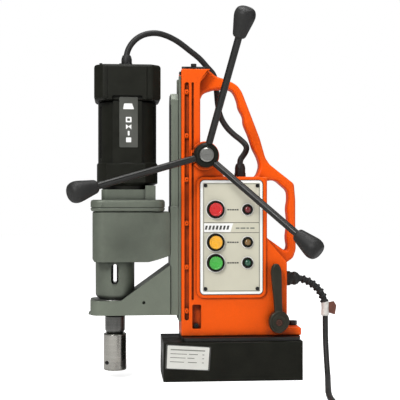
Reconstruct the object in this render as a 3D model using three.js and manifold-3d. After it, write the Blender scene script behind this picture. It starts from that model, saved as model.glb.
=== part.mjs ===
// Magnetic drill press: an electromagnet base, a cast frame with two handles, and a motor
// with its gearbox on a slide that a three-arm capstan moves up and down.
// Millimetres, +Z up. The origin is the centre of the magnet's underside, the viewer stands at -Y.
import * as THREE from 'three';
import { mergeVertices } from 'three/addons/utils/BufferGeometryUtils.js';
import Module from 'manifold-3d';

const wasm = await Module();
wasm.setup();

// ---------------------------------------------------------------- driving dimensions
const GAP = 0.3;
const SMALL = 12;
const MEDIUM = 16;
const MAGNET = { length: 220, width: 110, height: 62, edge: 2 };
const COIL_SLOT = { wall: 14, core: 26, height: 36, resin: 8 };
const SWIVEL = { x: -56, left: -80, right: 108, halfWidth: 50, bottom: 62.3, top: 68, pin: 8, reach: 128 };
const TIE = { x: 72, z: 91.5, shank: 5, eye: 12, eyeHalf: 7, shaft: 7, head: 9 };
const TOP_SCREW = { x: -61, y: -31, hole: 2.9, shank: 2.4 };
const FRAME = { left: -80.8, right: 111, bottom: 68.3, top: 491.5, half: 35, handleHalf: 15 };
const GUIDE = {
  mouth: 14.5, root: 21.5, front: -80.5, back: -67.2, bottom: 92, tongueBottom: 105, tongueTop: 450,
};
const GIB = 4;
const WAY = { left: -84.3, half: 32, top: 480 };
const CAPSTAN = { x: -44.5, z: 353.5, y: -62, splay: 28, first: 76.6, tip: 243, rod: 5.4, grip: 46 };
const BOSS = { radius: 22.4, front: -50, back: 40, bore: 8.8, journal: 16.6 };
const PINION = { module: 2, teeth: 14, half: 8 };
const RACK = { bottom: 200, top: 378, back: -65.9, half: 8 };
const PANEL = { left: -51.7, right: 48.4, bottom: 134.6, top: 315.6, front: -40, back: -37.6, corner: 7 };
const CONTROLS = [
  { name: 'motor', z: 269, cap: 'red', lamp: 'dark_red' },
  { name: 'magnet', z: 217.4, cap: 'yellow', lamp: 'amber' },
  { name: 'feed', z: 185, cap: 'green', lamp: 'dark_green' },
];
const BUTTON = { x: -27, bezel: 14, cap: 10.35, barrel: 10.5, front: -47, capFront: -50 };
const LAMP = { x: 23.6, radius: 8.5, stem: 6, front: -45 };
const MOTOR = { x: -165.5, body: 46.5, lower: 48.5, bottom: 303, step: 342, top: 439, bore: 42 };
const CAP = { half: 52.2, depth: 50, bottom: 440, top: 496, bevel: 14, wall: 4 };
const GEARBOX = { left: -220.3, right: -98.5, bottom: 187, top: 265.5, half: 50, neck: 34, shoulder: -127.5 };
const COVER = { left: -223.2, right: -106.6, bottom: 265.8, top: 284.5, half: 52, step: 300.5 };
const SPINDLE = { x: -185, housing: 31, bore: 17, shaft: 14, collar: 16, sleeve: 18.3, slotZ: [152, 182] };
const PLATE = { left: -98.1, thin: -96.9, right: -84.6, bottom: 102, step: 273.6, top: 453, half: 32 };
const BRACKET = { left: -224, bottom: 102.5, top: 125.4, half: 36, slopeTop: 181 };
const LEAD = 4.8;
const CORD = 4.5;
const COIL = { x: 70, y: -372, radius: 54, halfWidth: 18, height: 18 };

const LAYSHAFT = { x: -162.9, y: 23.86 };
const MOTOR_TEETH = { teeth: 8, module: 1, z: [244, 262] };
const WHEEL_TEETH = { teeth: 40, module: 1, z: [246, 258] };
const LAY_TEETH = { teeth: 10, module: 1.25, z: [208, 230] };
const SPINDLE_TEETH = { teeth: 42, module: 1.25, z: [212, 226] };

// ---------------------------------------------------------------- materials
const FINISH = {
  orange: [0xf26a12, 0.45, 0],
  grey_casting: [0x9a9d98, 0.45, 0.2],
  grey_plate: [0xb4b6b0, 0.4, 0.3],
  black_plastic: [0x1b1b1c, 0.5, 0],
  black_steel: [0x242425, 0.45, 0.6],
  magnet_paint: [0x2a2827, 0.5, 0.2],
  steel: [0xb9bbbd, 0.3, 0.9],
  dark_steel: [0x4b4d50, 0.4, 0.8],
  brass: [0xc39a4a, 0.35, 0.9],
  copper: [0xb0683c, 0.4, 0.8],
  resin: [0x3a3d3a, 0.6, 0],
  cream: [0xe9e6d6, 0.5, 0],
  label: [0xf1f1ec, 0.6, 0],
  board: [0x2f5a3a, 0.6, 0],
  rubber: [0x151515, 0.7, 0],
  red: [0xd3202a, 0.35, 0],
  yellow: [0xf1c21c, 0.35, 0],
  green: [0x2aa84a, 0.35, 0],
  dark_red: [0x6b1614, 0.25, 0],
  amber: [0x8a4a12, 0.25, 0],
  dark_green: [0x123f24, 0.25, 0],
};

const group = new THREE.Group();
group.name = 'magnetic_drill_press';

// ---------------------------------------------------------------- solid helpers
function solid(geometry) {
  geometry.deleteAttribute('normal');
  geometry.deleteAttribute('uv');
  const merged = mergeVertices(geometry, 1e-4);
  const corners = merged.index.array;
  const triangles = [];
  for (let i = 0; i < corners.length; i += 3) {
    const [a, b, c] = [corners[i], corners[i + 1], corners[i + 2]];
    if (a !== b && b !== c && c !== a) {
      triangles.push(a, b, c);
    }
  }
  const vertProperties = new Float32Array(merged.attributes.position.array);
  const triVerts = new Uint32Array(triangles);
  return new wasm.Manifold(new wasm.Mesh({ numProp: 3, vertProperties, triVerts }));
}

function join(...parts) {
  return parts.reduce((sum, part) => sum.add(part));
}

function cut(body, ...tools) {
  return tools.reduce((rest, tool) => rest.subtract(tool), body);
}

function put(name, body, finish) {
  const mesh = body.getMesh();
  const geometry = new THREE.BufferGeometry();
  geometry.setAttribute('position', new THREE.BufferAttribute(mesh.vertProperties, 3));
  geometry.setIndex(new THREE.BufferAttribute(mesh.triVerts, 1));
  geometry.computeVertexNormals();
  const [color, roughness, metalness] = FINISH[finish];
  const part = new THREE.Mesh(geometry, new THREE.MeshStandardMaterial({ color, roughness, metalness }));
  part.name = name;
  group.add(part);
}

function block(x0, x1, y0, y1, z0, z1) {
  const geometry = new THREE.BoxGeometry(x1 - x0, y1 - y0, z1 - z0);
  geometry.translate((x0 + x1) / 2, (y0 + y1) / 2, (z0 + z1) / 2);
  return solid(geometry);
}

// Points on a circle, from one angle to another in degrees.
function arc(u, v, radius, from, to, steps = 4) {
  const points = [];
  for (let i = 0; i <= steps; i += 1) {
    const angle = THREE.MathUtils.degToRad(from + ((to - from) * i) / steps);
    points.push([u + radius * Math.cos(angle), v + radius * Math.sin(angle)]);
  }
  return points;
}

// The points of a rectangle with rounded corners, counter-clockwise.
function roundedRectangle(u0, u1, v0, v1, radius, steps = 4) {
  return [
    ...arc(u1 - radius, v0 + radius, radius, -90, 0, steps),
    ...arc(u1 - radius, v1 - radius, radius, 0, 90, steps),
    ...arc(u0 + radius, v1 - radius, radius, 90, 180, steps),
    ...arc(u0 + radius, v0 + radius, radius, 180, 270, steps),
  ];
}

function prism(points, low, high, { bevel = 0, holes = [], segments = 1 } = {}) {
  const shape = new THREE.Shape(points.map(([u, v]) => new THREE.Vector2(u, v)));
  for (const hole of holes) {
    shape.holes.push(new THREE.Path(hole.map(([u, v]) => new THREE.Vector2(u, v))));
  }
  const geometry = new THREE.ExtrudeGeometry(shape, {
    depth: high - low - 2 * bevel,
    bevelEnabled: bevel > 0,
    bevelThickness: bevel,
    bevelSize: bevel,
    bevelOffset: -bevel,
    bevelSegments: segments,
    curveSegments: 8,
  });
  geometry.translate(0, 0, low + bevel);
  return geometry;
}

// A profile in X and Z, pushed along Y.
function frontProfile(points, y0, y1, options) {
  const geometry = prism(points, -y1, -y0, options);
  geometry.rotateX(Math.PI / 2);
  return solid(geometry);
}

// A profile in X and Y, pushed along Z.
function planProfile(points, z0, z1, options) {
  return solid(prism(points, z0, z1, options));
}

// A profile in Y and Z, pushed along X.
function sideProfile(points, x0, x1, options) {
  const geometry = prism(points, x0, x1, options);
  const [x, y, z] = [new THREE.Vector3(1, 0, 0), new THREE.Vector3(0, 1, 0), new THREE.Vector3(0, 0, 1)];
  geometry.applyMatrix4(new THREE.Matrix4().makeBasis(y, z, x));
  return solid(geometry);
}

// A turned body: profile points are [radius, distance along the axis].
function turned(profile, origin, axis, segments = 20) {
  const closed = profile[0][0] > 0 ? [...profile, profile[0]] : profile;
  let area = 0;
  for (let i = 0; i < profile.length; i += 1) {
    const [r0, h0] = profile[i];
    const [r1, h1] = profile[(i + 1) % profile.length];
    area += r0 * h1 - r1 * h0;
  }
  const points = closed.map(([r, h]) => new THREE.Vector2(r, h));
  const geometry = new THREE.LatheGeometry(area > 0 ? points : points.reverse(), segments);
  const up = new THREE.Vector3(0, 1, 0);
  geometry.applyQuaternion(new THREE.Quaternion().setFromUnitVectors(up, axis.clone().normalize()));
  geometry.translate(origin.x, origin.y, origin.z);
  return solid(geometry);
}

const AXIS_X = new THREE.Vector3(1, 0, 0);
const AXIS_Y = new THREE.Vector3(0, 1, 0);
const AXIS_Z = new THREE.Vector3(0, 0, 1);

function rodY(x, z, radius, y0, y1, segments = 20) {
  return turned([[0, y0], [radius, y0], [radius, y1], [0, y1]], new THREE.Vector3(x, 0, z), AXIS_Y, segments);
}

function rodZ(x, y, radius, z0, z1, segments = 20) {
  return turned([[0, z0], [radius, z0], [radius, z1], [0, z1]], new THREE.Vector3(x, y, 0), AXIS_Z, segments);
}

function rodX(y, z, radius, x0, x1, segments = 20) {
  return turned([[0, x0], [radius, x0], [radius, x1], [0, x1]], new THREE.Vector3(0, y, z), AXIS_X, segments);
}

function tubeAlong(points, radius, steps, sides) {
  const places = points.map(([x, y, z]) => new THREE.Vector3(x, y, z));
  const curve = new THREE.CatmullRomCurve3(places, false, 'centripetal');
  const shape = new THREE.Shape();
  for (let i = 0; i < sides; i += 1) {
    const angle = (2 * Math.PI * i) / sides;
    const [u, v] = [radius * Math.cos(angle), radius * Math.sin(angle)];
    if (i === 0) {
      shape.moveTo(u, v);
    } else {
      shape.lineTo(u, v);
    }
  }
  return solid(new THREE.ExtrudeGeometry(shape, { steps, extrudePath: curve, bevelEnabled: false }));
}

// Straight-sided gear teeth. A tooth is centred at angle `phase`, in radians.
function gearPoints(teeth, module, phase, outside = 0.85, inside = 1.15) {
  const pitch = (teeth * module) / 2;
  const step = (2 * Math.PI) / teeth;
  const points = [];
  for (let i = 0; i < teeth; i += 1) {
    const centre = phase + i * step;
    const root = pitch - inside * module;
    const tip = pitch + outside * module;
    points.push([centre - 0.31 * step, root], [centre - 0.13 * step, tip]);
    points.push([centre + 0.13 * step, tip], [centre + 0.31 * step, root]);
  }
  return points.map(([angle, r]) => [r * Math.cos(angle), r * Math.sin(angle)]);
}

function gear(spec, x, y, phase) {
  const points = gearPoints(spec.teeth, spec.module, phase).map(([u, v]) => [x + u, y + v]);
  return planProfile(points, spec.z[0], spec.z[1]);
}

// ---------------------------------------------------------------- magnet base
function makeMagnet() {
  const [x, y] = [MAGNET.length / 2, MAGNET.width / 2];
  const { wall, core: coreInset } = COIL_SLOT;
  const slotOuter = roundedRectangle(-x + wall, x - wall, -y + wall, y - wall, 12);
  const core = roundedRectangle(-x + 2 * coreInset, x - 2 * coreInset, -wall, wall, 6);
  const grow = (points, by) => points.map(([u, v]) => [u + Math.sign(u) * by, v + Math.sign(v) * by]);
  const rim = [[-x, 0], [x, 0], [x, MAGNET.height], [-x, MAGNET.height]];
  const shell = frontProfile(rim, -y, y, { bevel: MAGNET.edge });
  const slot = planProfile(slotOuter, -5, COIL_SLOT.height, { holes: [core] });
  const headRoom = block(SWIVEL.x + 106, SWIVEL.x + 148, -46, 46, 50, MAGNET.height + 1);
  const pinBore = rodZ(SWIVEL.x, 0, SWIVEL.pin + GAP, 46, MAGNET.height + 1);
  put('magnet_housing', cut(shell, slot, headRoom, pinBore), 'magnet_paint');
  const fill = (from, to) => planProfile(grow(slotOuter, -GAP), from, to, { holes: [grow(core, GAP)] });
  put('magnet_coil', fill(COIL_SLOT.resin + GAP, COIL_SLOT.height - GAP), 'copper');
  put('magnet_potting', fill(0.8, COIL_SLOT.resin), 'resin');
}

function makeRatingLabel() {
  const corners = [[-107.5, 21], [-38, 17.2], [-35.4, 54.9], [-105.8, 59.6]];
  const y = -MAGNET.width / 2;
  put('rating_label', frontProfile(corners, y - 0.8, y - 0.2), 'label');
}

function makeSwivel() {
  const edge = roundedRectangle(SWIVEL.left, SWIVEL.right, -SWIVEL.halfWidth, SWIVEL.halfWidth, 10);
  const slot = [
    ...arc(SWIVEL.x, 0, SWIVEL.reach + 5.6, -18, 18, 8), ...arc(SWIVEL.x, 0, SWIVEL.reach - 5.6, 18, -18, 8),
  ];
  const plate = planProfile(edge, SWIVEL.bottom, SWIVEL.top, { holes: [slot] });
  put('swivel_plate', cut(plate, rodZ(SWIVEL.x, 0, SWIVEL.pin + GAP, 60, 70)), 'dark_steel');
  const pin = [[0, 50], [SWIVEL.pin, 50], [SWIVEL.pin, 79], [SWIVEL.pin - 1, 80], [0, 80]];
  put('pivot_pin', turned(pin, new THREE.Vector3(SWIVEL.x, 0, 0), AXIS_Z), 'steel');
}

function makeClamp() {
  const eye = rodY(TIE.x, TIE.z, TIE.eye, -TIE.eyeHalf, TIE.eyeHalf);
  const shank = rodZ(TIE.x, 0, TIE.shank, 56, TIE.z - 9, 16);
  const head = rodZ(TIE.x, 0, TIE.head, 53, 60);
  const bore = rodY(TIE.x, TIE.z, TIE.shaft + GAP, -20, 20);
  put('tie_bolt', cut(join(eye, shank, head), bore), 'steel');

  const shaft = [[0, -60], [6, -60], [6, -44], [TIE.shaft, -44], [TIE.shaft, 30], [0, 30]];
  put('clamp_shaft', turned(shaft, new THREE.Vector3(TIE.x, 0, TIE.z), AXIS_Y), 'dark_steel');

  const bar = [
    [63.8, 100], [78.5, 100], [76.6, 113.8], [75.8, 173.7], [71.5, 184], [62.5, 184], [59.1, 173.7],
    [64.7, 113.8],
  ];
  const handle = frontProfile(bar, -55, -44, { bevel: 2.5, segments: 2 });
  const boss = [[0, -58], [14.5, -58], [17, -55.5], [17, -42.5], [15.5, -41], [0, -41]];
  const lever = join(handle, turned(boss, new THREE.Vector3(TIE.x, 0, TIE.z), AXIS_Y));
  const bores = [rodY(TIE.x, TIE.z, 6 + GAP, -70, -43), rodY(TIE.x, TIE.z, TIE.shaft + GAP, -44, -30)];
  put('clamp_lever', cut(lever, ...bores), 'black_steel');
}

// ---------------------------------------------------------------- frame
const HANDLE_OUTLINE = [
  [-80.8, 68.3], [111, 68.3], [111, 81], [92.5, 81], [88.1, 107.4], [88.1, 180.9], [101.9, 190.6],
  [106.3, 204.1], [105.5, 243.7], [105.5, 284.3], [103.2, 310.3], [63.7, 341.2], [56.4, 352.4],
  [47.4, 383.7], [20.2, 453.7], [17.6, 459.4], [11.2, 468.1], [2.3, 473.5], [-12.2, 479.2],
  [-23.8, 482.7], [-34.3, 491.5], [-80.8, 491.5],
];
const UPPER_OPENING = [
  [-12, 320.5], [41.2, 320.5], [47.8, 338.1], [44.1, 352.5], [36.7, 365.6], [29.3, 388.9],
  [21.2, 406.5], [21.2, 418.3], [13.1, 431.3], [11.6, 442.8], [5.5, 457.4], [-1.5, 462.6],
  [-25, 462.4], [-44, 456], [-50.6, 441.5], [-50.6, 372], [-27, 340],
];
const REAR_OPENING = [
  [53.8, 314.4], [55.5, 268], [56.8, 224.6], [89.3, 201.4], [93.1, 207.6], [90.6, 222.8],
  [93.8, 247.9], [91.3, 270.6], [93.8, 284], [93.1, 298.8], [72.9, 316.3],
];
const THICK_OUTLINE = [
  [-80.8, 68.3], [111, 68.3], [111, 81], [92.5, 81], [88, 90], [88, 185], [56, 222], [56, 320.5],
  [-12, 320.5], [-27, 340], [-50.6, 372], [-50.6, 470], [-34.3, 491.5], [-80.8, 491.5],
];

function guideGroove(y0, y1, z0, z1) {
  const lean = GUIDE.root - GUIDE.mouth;
  const back = GUIDE.back + GAP;
  const slope = lean / (GUIDE.back - GUIDE.front);
  const outer = 1 * slope;
  const points = [
    [GUIDE.front - 1, y0 - GUIDE.mouth + outer], [GUIDE.front - 1, y1 + GUIDE.mouth - outer],
    [back, y1 + GUIDE.root + slope * GAP], [back, y0 - GUIDE.root - slope * GAP],
  ];
  return planProfile(points.reverse(), z0, z1);
}

function makeFrame() {
  const handles = frontProfile(HANDLE_OUTLINE, -FRAME.handleHalf, FRAME.handleHalf, {
    bevel: 3,
    segments: 2,
  });
  const openings = [UPPER_OPENING, REAR_OPENING].map((points) => frontProfile(points, -60, 60));
  const body = frontProfile(THICK_OUTLINE, -FRAME.half, FRAME.half, { bevel: 3, segments: 2 });
  const boss = rodY(CAPSTAN.x, CAPSTAN.z, BOSS.radius, BOSS.front, BOSS.back, 32);
  const { left, right, bottom, top, corner } = PANEL;
  const rimOutline = roundedRectangle(left - 5.3, right + 5.6, bottom - 5.6, top + 5.3, 10);
  const rim = frontProfile(rimOutline, -39, -30);
  const recess = roundedRectangle(left - GAP, right + GAP, bottom - GAP, top + GAP, corner);
  const upper = openings[0].subtract(boss);
  let casting = join(handles, body).subtract(upper).subtract(openings[1]);
  casting = join(casting, boss, rim);
  const mouthOpen = block(-90, CAPSTAN.x, -9, 9, CAPSTAN.z - 17.5, CAPSTAN.z + 17.5);
  casting = cut(
    casting,
    frontProfile(recess, -50, PANEL.back + GAP),
    block(-49, 46, -50, 25, 138, 312),
    guideGroove(-GIB - 0.8, 0.4, GUIDE.bottom, 520),
    block(GUIDE.back - 1, -55.9, -RACK.half - 0.7, RACK.half + 0.7, 186, 520),
    mouthOpen,
    rodY(CAPSTAN.x, CAPSTAN.z, 17.5, -9, 60, 32),
    rodY(CAPSTAN.x, CAPSTAN.z, BOSS.bore, -60, 0),
    block(-63.4, -49.3, -50, -24, 80.4, 118.9),
    block(TIE.x - 13, TIE.x + 13, -9, 9, 60, 106),
    rodY(TIE.x, TIE.z, TIE.shaft + GAP, -50, 31),
    rodZ(SWIVEL.x, 0, SWIVEL.pin + GAP, 60, 82),
    rodX(0, 156.7, 7.3, 40, 120),
    rodZ(16.8, 0, 7.3, 300, 330),
    rodZ(TOP_SCREW.x, TOP_SCREW.y, TOP_SCREW.hole, 480, 500, SMALL),
    rodZ(103, 0, 4.3, 60, 90, 12),
  );
  put('frame_casting', casting, 'orange');
}

function makeTopPlate() {
  const outline = [[-80, -34], [-38, -34], [-38, 34], [-80, 34], [-80, 28], [-53, 28], [-53, -28], [-80, -28]];
  const z = FRAME.top + GAP;
  const hole = rodZ(TOP_SCREW.x, TOP_SCREW.y, TOP_SCREW.hole, 480, 500, SMALL);
  put('top_plate', cut(planProfile(outline, z, z + 3), hole), 'black_steel');
  const seat = z + 3 + GAP;
  const screw = [
    [0, 482], [TOP_SCREW.shank, 482], [TOP_SCREW.shank, seat], [4.5, seat], [4.5, seat + 3.2],
    [3.5, seat + 4.2], [0, seat + 4.2],
  ];
  const place = new THREE.Vector3(TOP_SCREW.x, TOP_SCREW.y, 0);
  put('top_plate_screw', turned(screw, place, AXIS_Z, SMALL), 'dark_steel');
}

function makeGuide() {
  const slot = [[WAY.half, GUIDE.bottom], [WAY.half, WAY.top], [-WAY.half, WAY.top], [-WAY.half, GUIDE.bottom]];
  const mouth = [[-20.2, 80], [-20.2, 500], [15.8, 500], [15.8, 80]];
  const right = FRAME.left - GAP;
  const strips = sideProfile(slot, WAY.left, right).subtract(sideProfile(mouth.reverse(), -100, -70));
  const bridge = block(WAY.left, right, -24, 20, GUIDE.bottom, GUIDE.bottom + 2.4);
  put('way_plate', join(strips, bridge), 'grey_plate');
  const [front, back] = [GUIDE.front, GUIDE.back + 0.1];
  const offset = 0.45;
  const gib = [
    [front, -GUIDE.mouth - offset], [front, -GUIDE.mouth - offset - GIB],
    [back, -GUIDE.root - offset - GIB], [back, -GUIDE.root - offset],
  ];
  put('gib_strip', planProfile(gib, GUIDE.bottom + 3, 486), 'brass');
}

// ---------------------------------------------------------------- controls
function makePanel() {
  const outline = roundedRectangle(PANEL.left, PANEL.right, PANEL.bottom, PANEL.top, PANEL.corner);
  const plate = frontProfile(outline, PANEL.front, PANEL.back);
  const holes = CONTROLS.flatMap(({ z }) => [
    rodY(BUTTON.x, z, BUTTON.barrel + GAP, -50, -30, MEDIUM),
    rodY(LAMP.x, z, LAMP.stem + GAP, -50, -30, SMALL),
  ]);
  put('control_panel', cut(plate, ...holes), 'cream');
  put('control_board', block(-44, 41, -4, -2, 144, 306), 'board');
}

function makeControls() {
  const behind = PANEL.front - GAP;
  for (const { name, z, cap, lamp } of CONTROLS) {
    const centre = new THREE.Vector3(BUTTON.x, 0, z);
    const body = [
      [BUTTON.cap + 0.4, BUTTON.front], [BUTTON.bezel - 1, BUTTON.front], [BUTTON.bezel, BUTTON.front + 1],
      [BUTTON.bezel, behind], [BUTTON.barrel, behind], [BUTTON.barrel, -12], [5.4, -12],
      [5.4, behind - 0.6], [BUTTON.cap + 0.4, behind - 0.6],
    ];
    put(`${name}_button_body`, turned(body, centre, AXIS_Y, MEDIUM), 'black_plastic');
    const back = behind - 4.3;
    const press = [
      [0, BUTTON.capFront - 0.6], [6, BUTTON.capFront - 0.3], [BUTTON.cap - 0.8, BUTTON.capFront],
      [BUTTON.cap, BUTTON.capFront + 1], [BUTTON.cap, back], [5, back], [5, -28], [0, -28],
    ];
    put(`${name}_button_cap`, turned(press, centre, AXIS_Y, MEDIUM), cap);
    const lens = [
      [0, LAMP.front - 1.2], [3.5, LAMP.front - 1], [6.5, LAMP.front], [LAMP.radius, LAMP.front + 2],
      [LAMP.radius, behind], [LAMP.stem, behind], [LAMP.stem, -20], [0, -20],
    ];
    put(`${name}_pilot_light`, turned(lens, new THREE.Vector3(LAMP.x, 0, z), AXIS_Y, SMALL), lamp);
  }
}

// ---------------------------------------------------------------- capstan
function makeCapstan() {
  const centre = new THREE.Vector3(CAPSTAN.x, 0, CAPSTAN.z);
  const hub = [[0, -79], [14, -79], [19, -76], [19, -51], [0, -51]];
  let hubBody = turned(hub, centre, AXIS_Y, 32);
  hubBody = cut(hubBody, rodY(CAPSTAN.x, CAPSTAN.z, 8.5 + GAP, -60, -40));
  const meeting = new THREE.Vector3(CAPSTAN.x, CAPSTAN.y, CAPSTAN.z);
  const splay = THREE.MathUtils.degToRad(CAPSTAN.splay);
  for (let i = 0; i < 3; i += 1) {
    const angle = THREE.MathUtils.degToRad(CAPSTAN.first + 120 * i);
    const flat = new THREE.Vector3(Math.cos(angle), 0, Math.sin(angle));
    const along = flat.multiplyScalar(Math.cos(splay)).add(new THREE.Vector3(0, -Math.sin(splay), 0));
    const end = CAPSTAN.tip;
    const start = end - CAPSTAN.grip;
    const socket = CAPSTAN.rod + GAP;
    hubBody = cut(hubBody, turned([[0, 11.5], [socket, 11.5], [socket, 60], [0, 60]], meeting, along, 16));
    const rod = [[0, 12], [CAPSTAN.rod, 12], [CAPSTAN.rod, start + 20], [0, start + 20]];
    put(`feed_arm_${i + 1}`, turned(rod, meeting, along, 16), 'black_steel');
    const grip = [
      [0, end], [10, end], [14.5, end - 4], [16, end - 12], [14.6, end - 22], [11, end - 38],
      [10, start + 1], [8.5, start], [CAPSTAN.rod + GAP, start],
      [CAPSTAN.rod + GAP, start + 21], [0, start + 21],
    ];
    put(`feed_grip_${i + 1}`, turned(grip, meeting, along, MEDIUM), 'black_plastic');
  }
  put('feed_hub', hubBody, 'black_steel');
  const nut = [[0, -83.5], [9, -83.5], [11, -81.8], [11, -79 - GAP], [0, -79 - GAP]];
  put('hub_nut', turned(nut, centre, AXIS_Y), 'steel');

  const gapAtRack = Math.PI + Math.PI / PINION.teeth;
  const round = gearPoints(PINION.teeth, PINION.module, gapAtRack);
  const teeth = round.map(([u, v]) => [CAPSTAN.x + u, CAPSTAN.z + v]);
  const front = rodY(CAPSTAN.x, CAPSTAN.z, 8.4, -59.5, 0);
  const journal = rodY(CAPSTAN.x, CAPSTAN.z, BOSS.journal, PINION.half + 1.5, BOSS.back - 1, 32);
  const neck = rodY(CAPSTAN.x, CAPSTAN.z, 9, 0, PINION.half + 2);
  const pinion = frontProfile(teeth, -PINION.half, PINION.half);
  put('pinion_shaft', join(front, journal, neck, pinion), 'steel');
}

// ---------------------------------------------------------------- carriage
function makeSlide() {
  const thick = block(PLATE.left, PLATE.right, -PLATE.half, PLATE.half, PLATE.bottom, PLATE.step);
  const y = PLATE.half - 2;
  const { top } = PLATE;
  const tall = [[-y, 200], [y, 200], [y, top - 10], [y - 10, top], [-y + 10, top], [-y, top - 10]];
  const thin = sideProfile(tall, PLATE.thin, PLATE.right);
  const tongue = [
    [PLATE.right - 1, -GUIDE.mouth], [GUIDE.front, -GUIDE.mouth], [GUIDE.back, -GUIDE.root],
    [GUIDE.back, GUIDE.root], [GUIDE.front, GUIDE.mouth], [PLATE.right - 1, GUIDE.mouth],
  ];
  put('slide_plate', join(thick, thin, planProfile(tongue, GUIDE.tongueBottom, GUIDE.tongueTop)), 'grey_plate');

  const pitch = Math.PI * PINION.module;
  const line = CAPSTAN.x - (PINION.module * PINION.teeth) / 2;
  const [tip, root] = [line + 0.85 * PINION.module, line - 1.15 * PINION.module];
  const points = [[RACK.back, RACK.bottom], [root, RACK.bottom]];
  const first = Math.ceil((RACK.bottom + pitch / 2 - CAPSTAN.z) / pitch);
  const last = Math.floor((RACK.top - pitch / 2 - CAPSTAN.z) / pitch);
  for (let i = first; i <= last; i += 1) {
    const z = CAPSTAN.z + i * pitch;
    points.push([root, z - 0.33 * pitch], [tip, z - 0.13 * pitch]);
    points.push([tip, z + 0.13 * pitch], [root, z + 0.33 * pitch]);
  }
  points.push([root, RACK.top], [RACK.back, RACK.top]);
  put('rack', frontProfile(points, -RACK.half, RACK.half), 'steel');
}

function makeGearbox() {
  const y = GEARBOX.half;
  const elevation = [
    [GEARBOX.left, 191.5], [-216.8, GEARBOX.bottom], [-133, GEARBOX.bottom], [-117.4, 190.5],
    [GEARBOX.right, 196.2], [GEARBOX.right, GEARBOX.top], [GEARBOX.left, GEARBOX.top],
  ];
  const plan = [
    [GEARBOX.right, -GEARBOX.neck], [GEARBOX.right, GEARBOX.neck], [GEARBOX.shoulder, y],
    ...arc(GEARBOX.left + 20, y - 20, 20, 90, 180), ...arc(GEARBOX.left + 20, 20 - y, 20, 180, 270),
    [GEARBOX.shoulder, -y],
  ];
  const prismUp = planProfile(plan, 180, GEARBOX.top, { bevel: 1.5 });
  const shell = frontProfile(elevation, -y - 5, y + 5).intersect(prismUp);
  const inside = planProfile(roundedRectangle(GEARBOX.left + 4, -131, -y + 4, y - 4, 16), 207, 280);
  const well = planProfile(roundedRectangle(-212, -131, -y + 8, y - 8, 16), 192, 210);
  const shaftHole = rodZ(SPINDLE.x, 0, SPINDLE.bore, 180, 215);
  put('gearbox_housing', cut(shell, inside, well, shaftHole), 'grey_casting');

  const flange = roundedRectangle(COVER.left, COVER.right, -COVER.half, COVER.half, 20);
  const base = planProfile(flange, COVER.bottom, COVER.top, { bevel: 4, segments: 2 });
  const step = planProfile(roundedRectangle(-206.3, -125, -40, 40, 10), COVER.top - 2, COVER.step);
  const tab = block(-137.7, -121.6, -44, -32, COVER.top - 2, 306.7);
  const cavity = planProfile(roundedRectangle(-200, -132, -34, 34, 8), COVER.bottom - 1, COVER.top);
  const hole = rodZ(MOTOR.x, 0, 8, 270, 320, SMALL);
  put('gearbox_cover', cut(join(base, step, tab), cavity, hole), 'grey_casting');

  const housing = [
    [SPINDLE.bore, 126], [24, 126], [SPINDLE.housing, 131], [SPINDLE.housing, GEARBOX.bottom - GAP],
    [SPINDLE.bore, GEARBOX.bottom - GAP],
  ];
  const tube = turned(housing, new THREE.Vector3(SPINDLE.x, 0, 0), AXIS_Z, 32);
  put('spindle_housing', cut(tube, block(-191.4, -179.5, -50, 50, 150.6, 183.7)), 'grey_casting');
}

function makeBracket() {
  const right = PLATE.left - GAP;
  const { half, left, bottom, top, slopeTop } = BRACKET;
  const plan = [
    [right, -half], [right, half],
    ...arc(left + 16, half - 16, 16, 90, 180), ...arc(left + 16, 16 - half, 16, 180, 270),
  ];
  const elevation = [
    [left - 5, bottom], [right, bottom], [right, slopeTop], [-172.9, 127.5], [-176, top], [left - 5, top],
  ];
  const body = planProfile(plan, bottom, slopeTop + 5).intersect(frontProfile(elevation, -60, 60));
  const relief = block(-158, right - 7, -half + 6, half - 6, bottom - 5, 132);
  const bore = rodZ(SPINDLE.x, 0, SPINDLE.bore + 0.5, 90, 140);
  const clear = rodZ(SPINDLE.x, 0, SPINDLE.housing + 0.5, top + 0.6, 190, 32);
  put('arbor_bracket', cut(body, relief, bore, clear), 'grey_plate');
}

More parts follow.
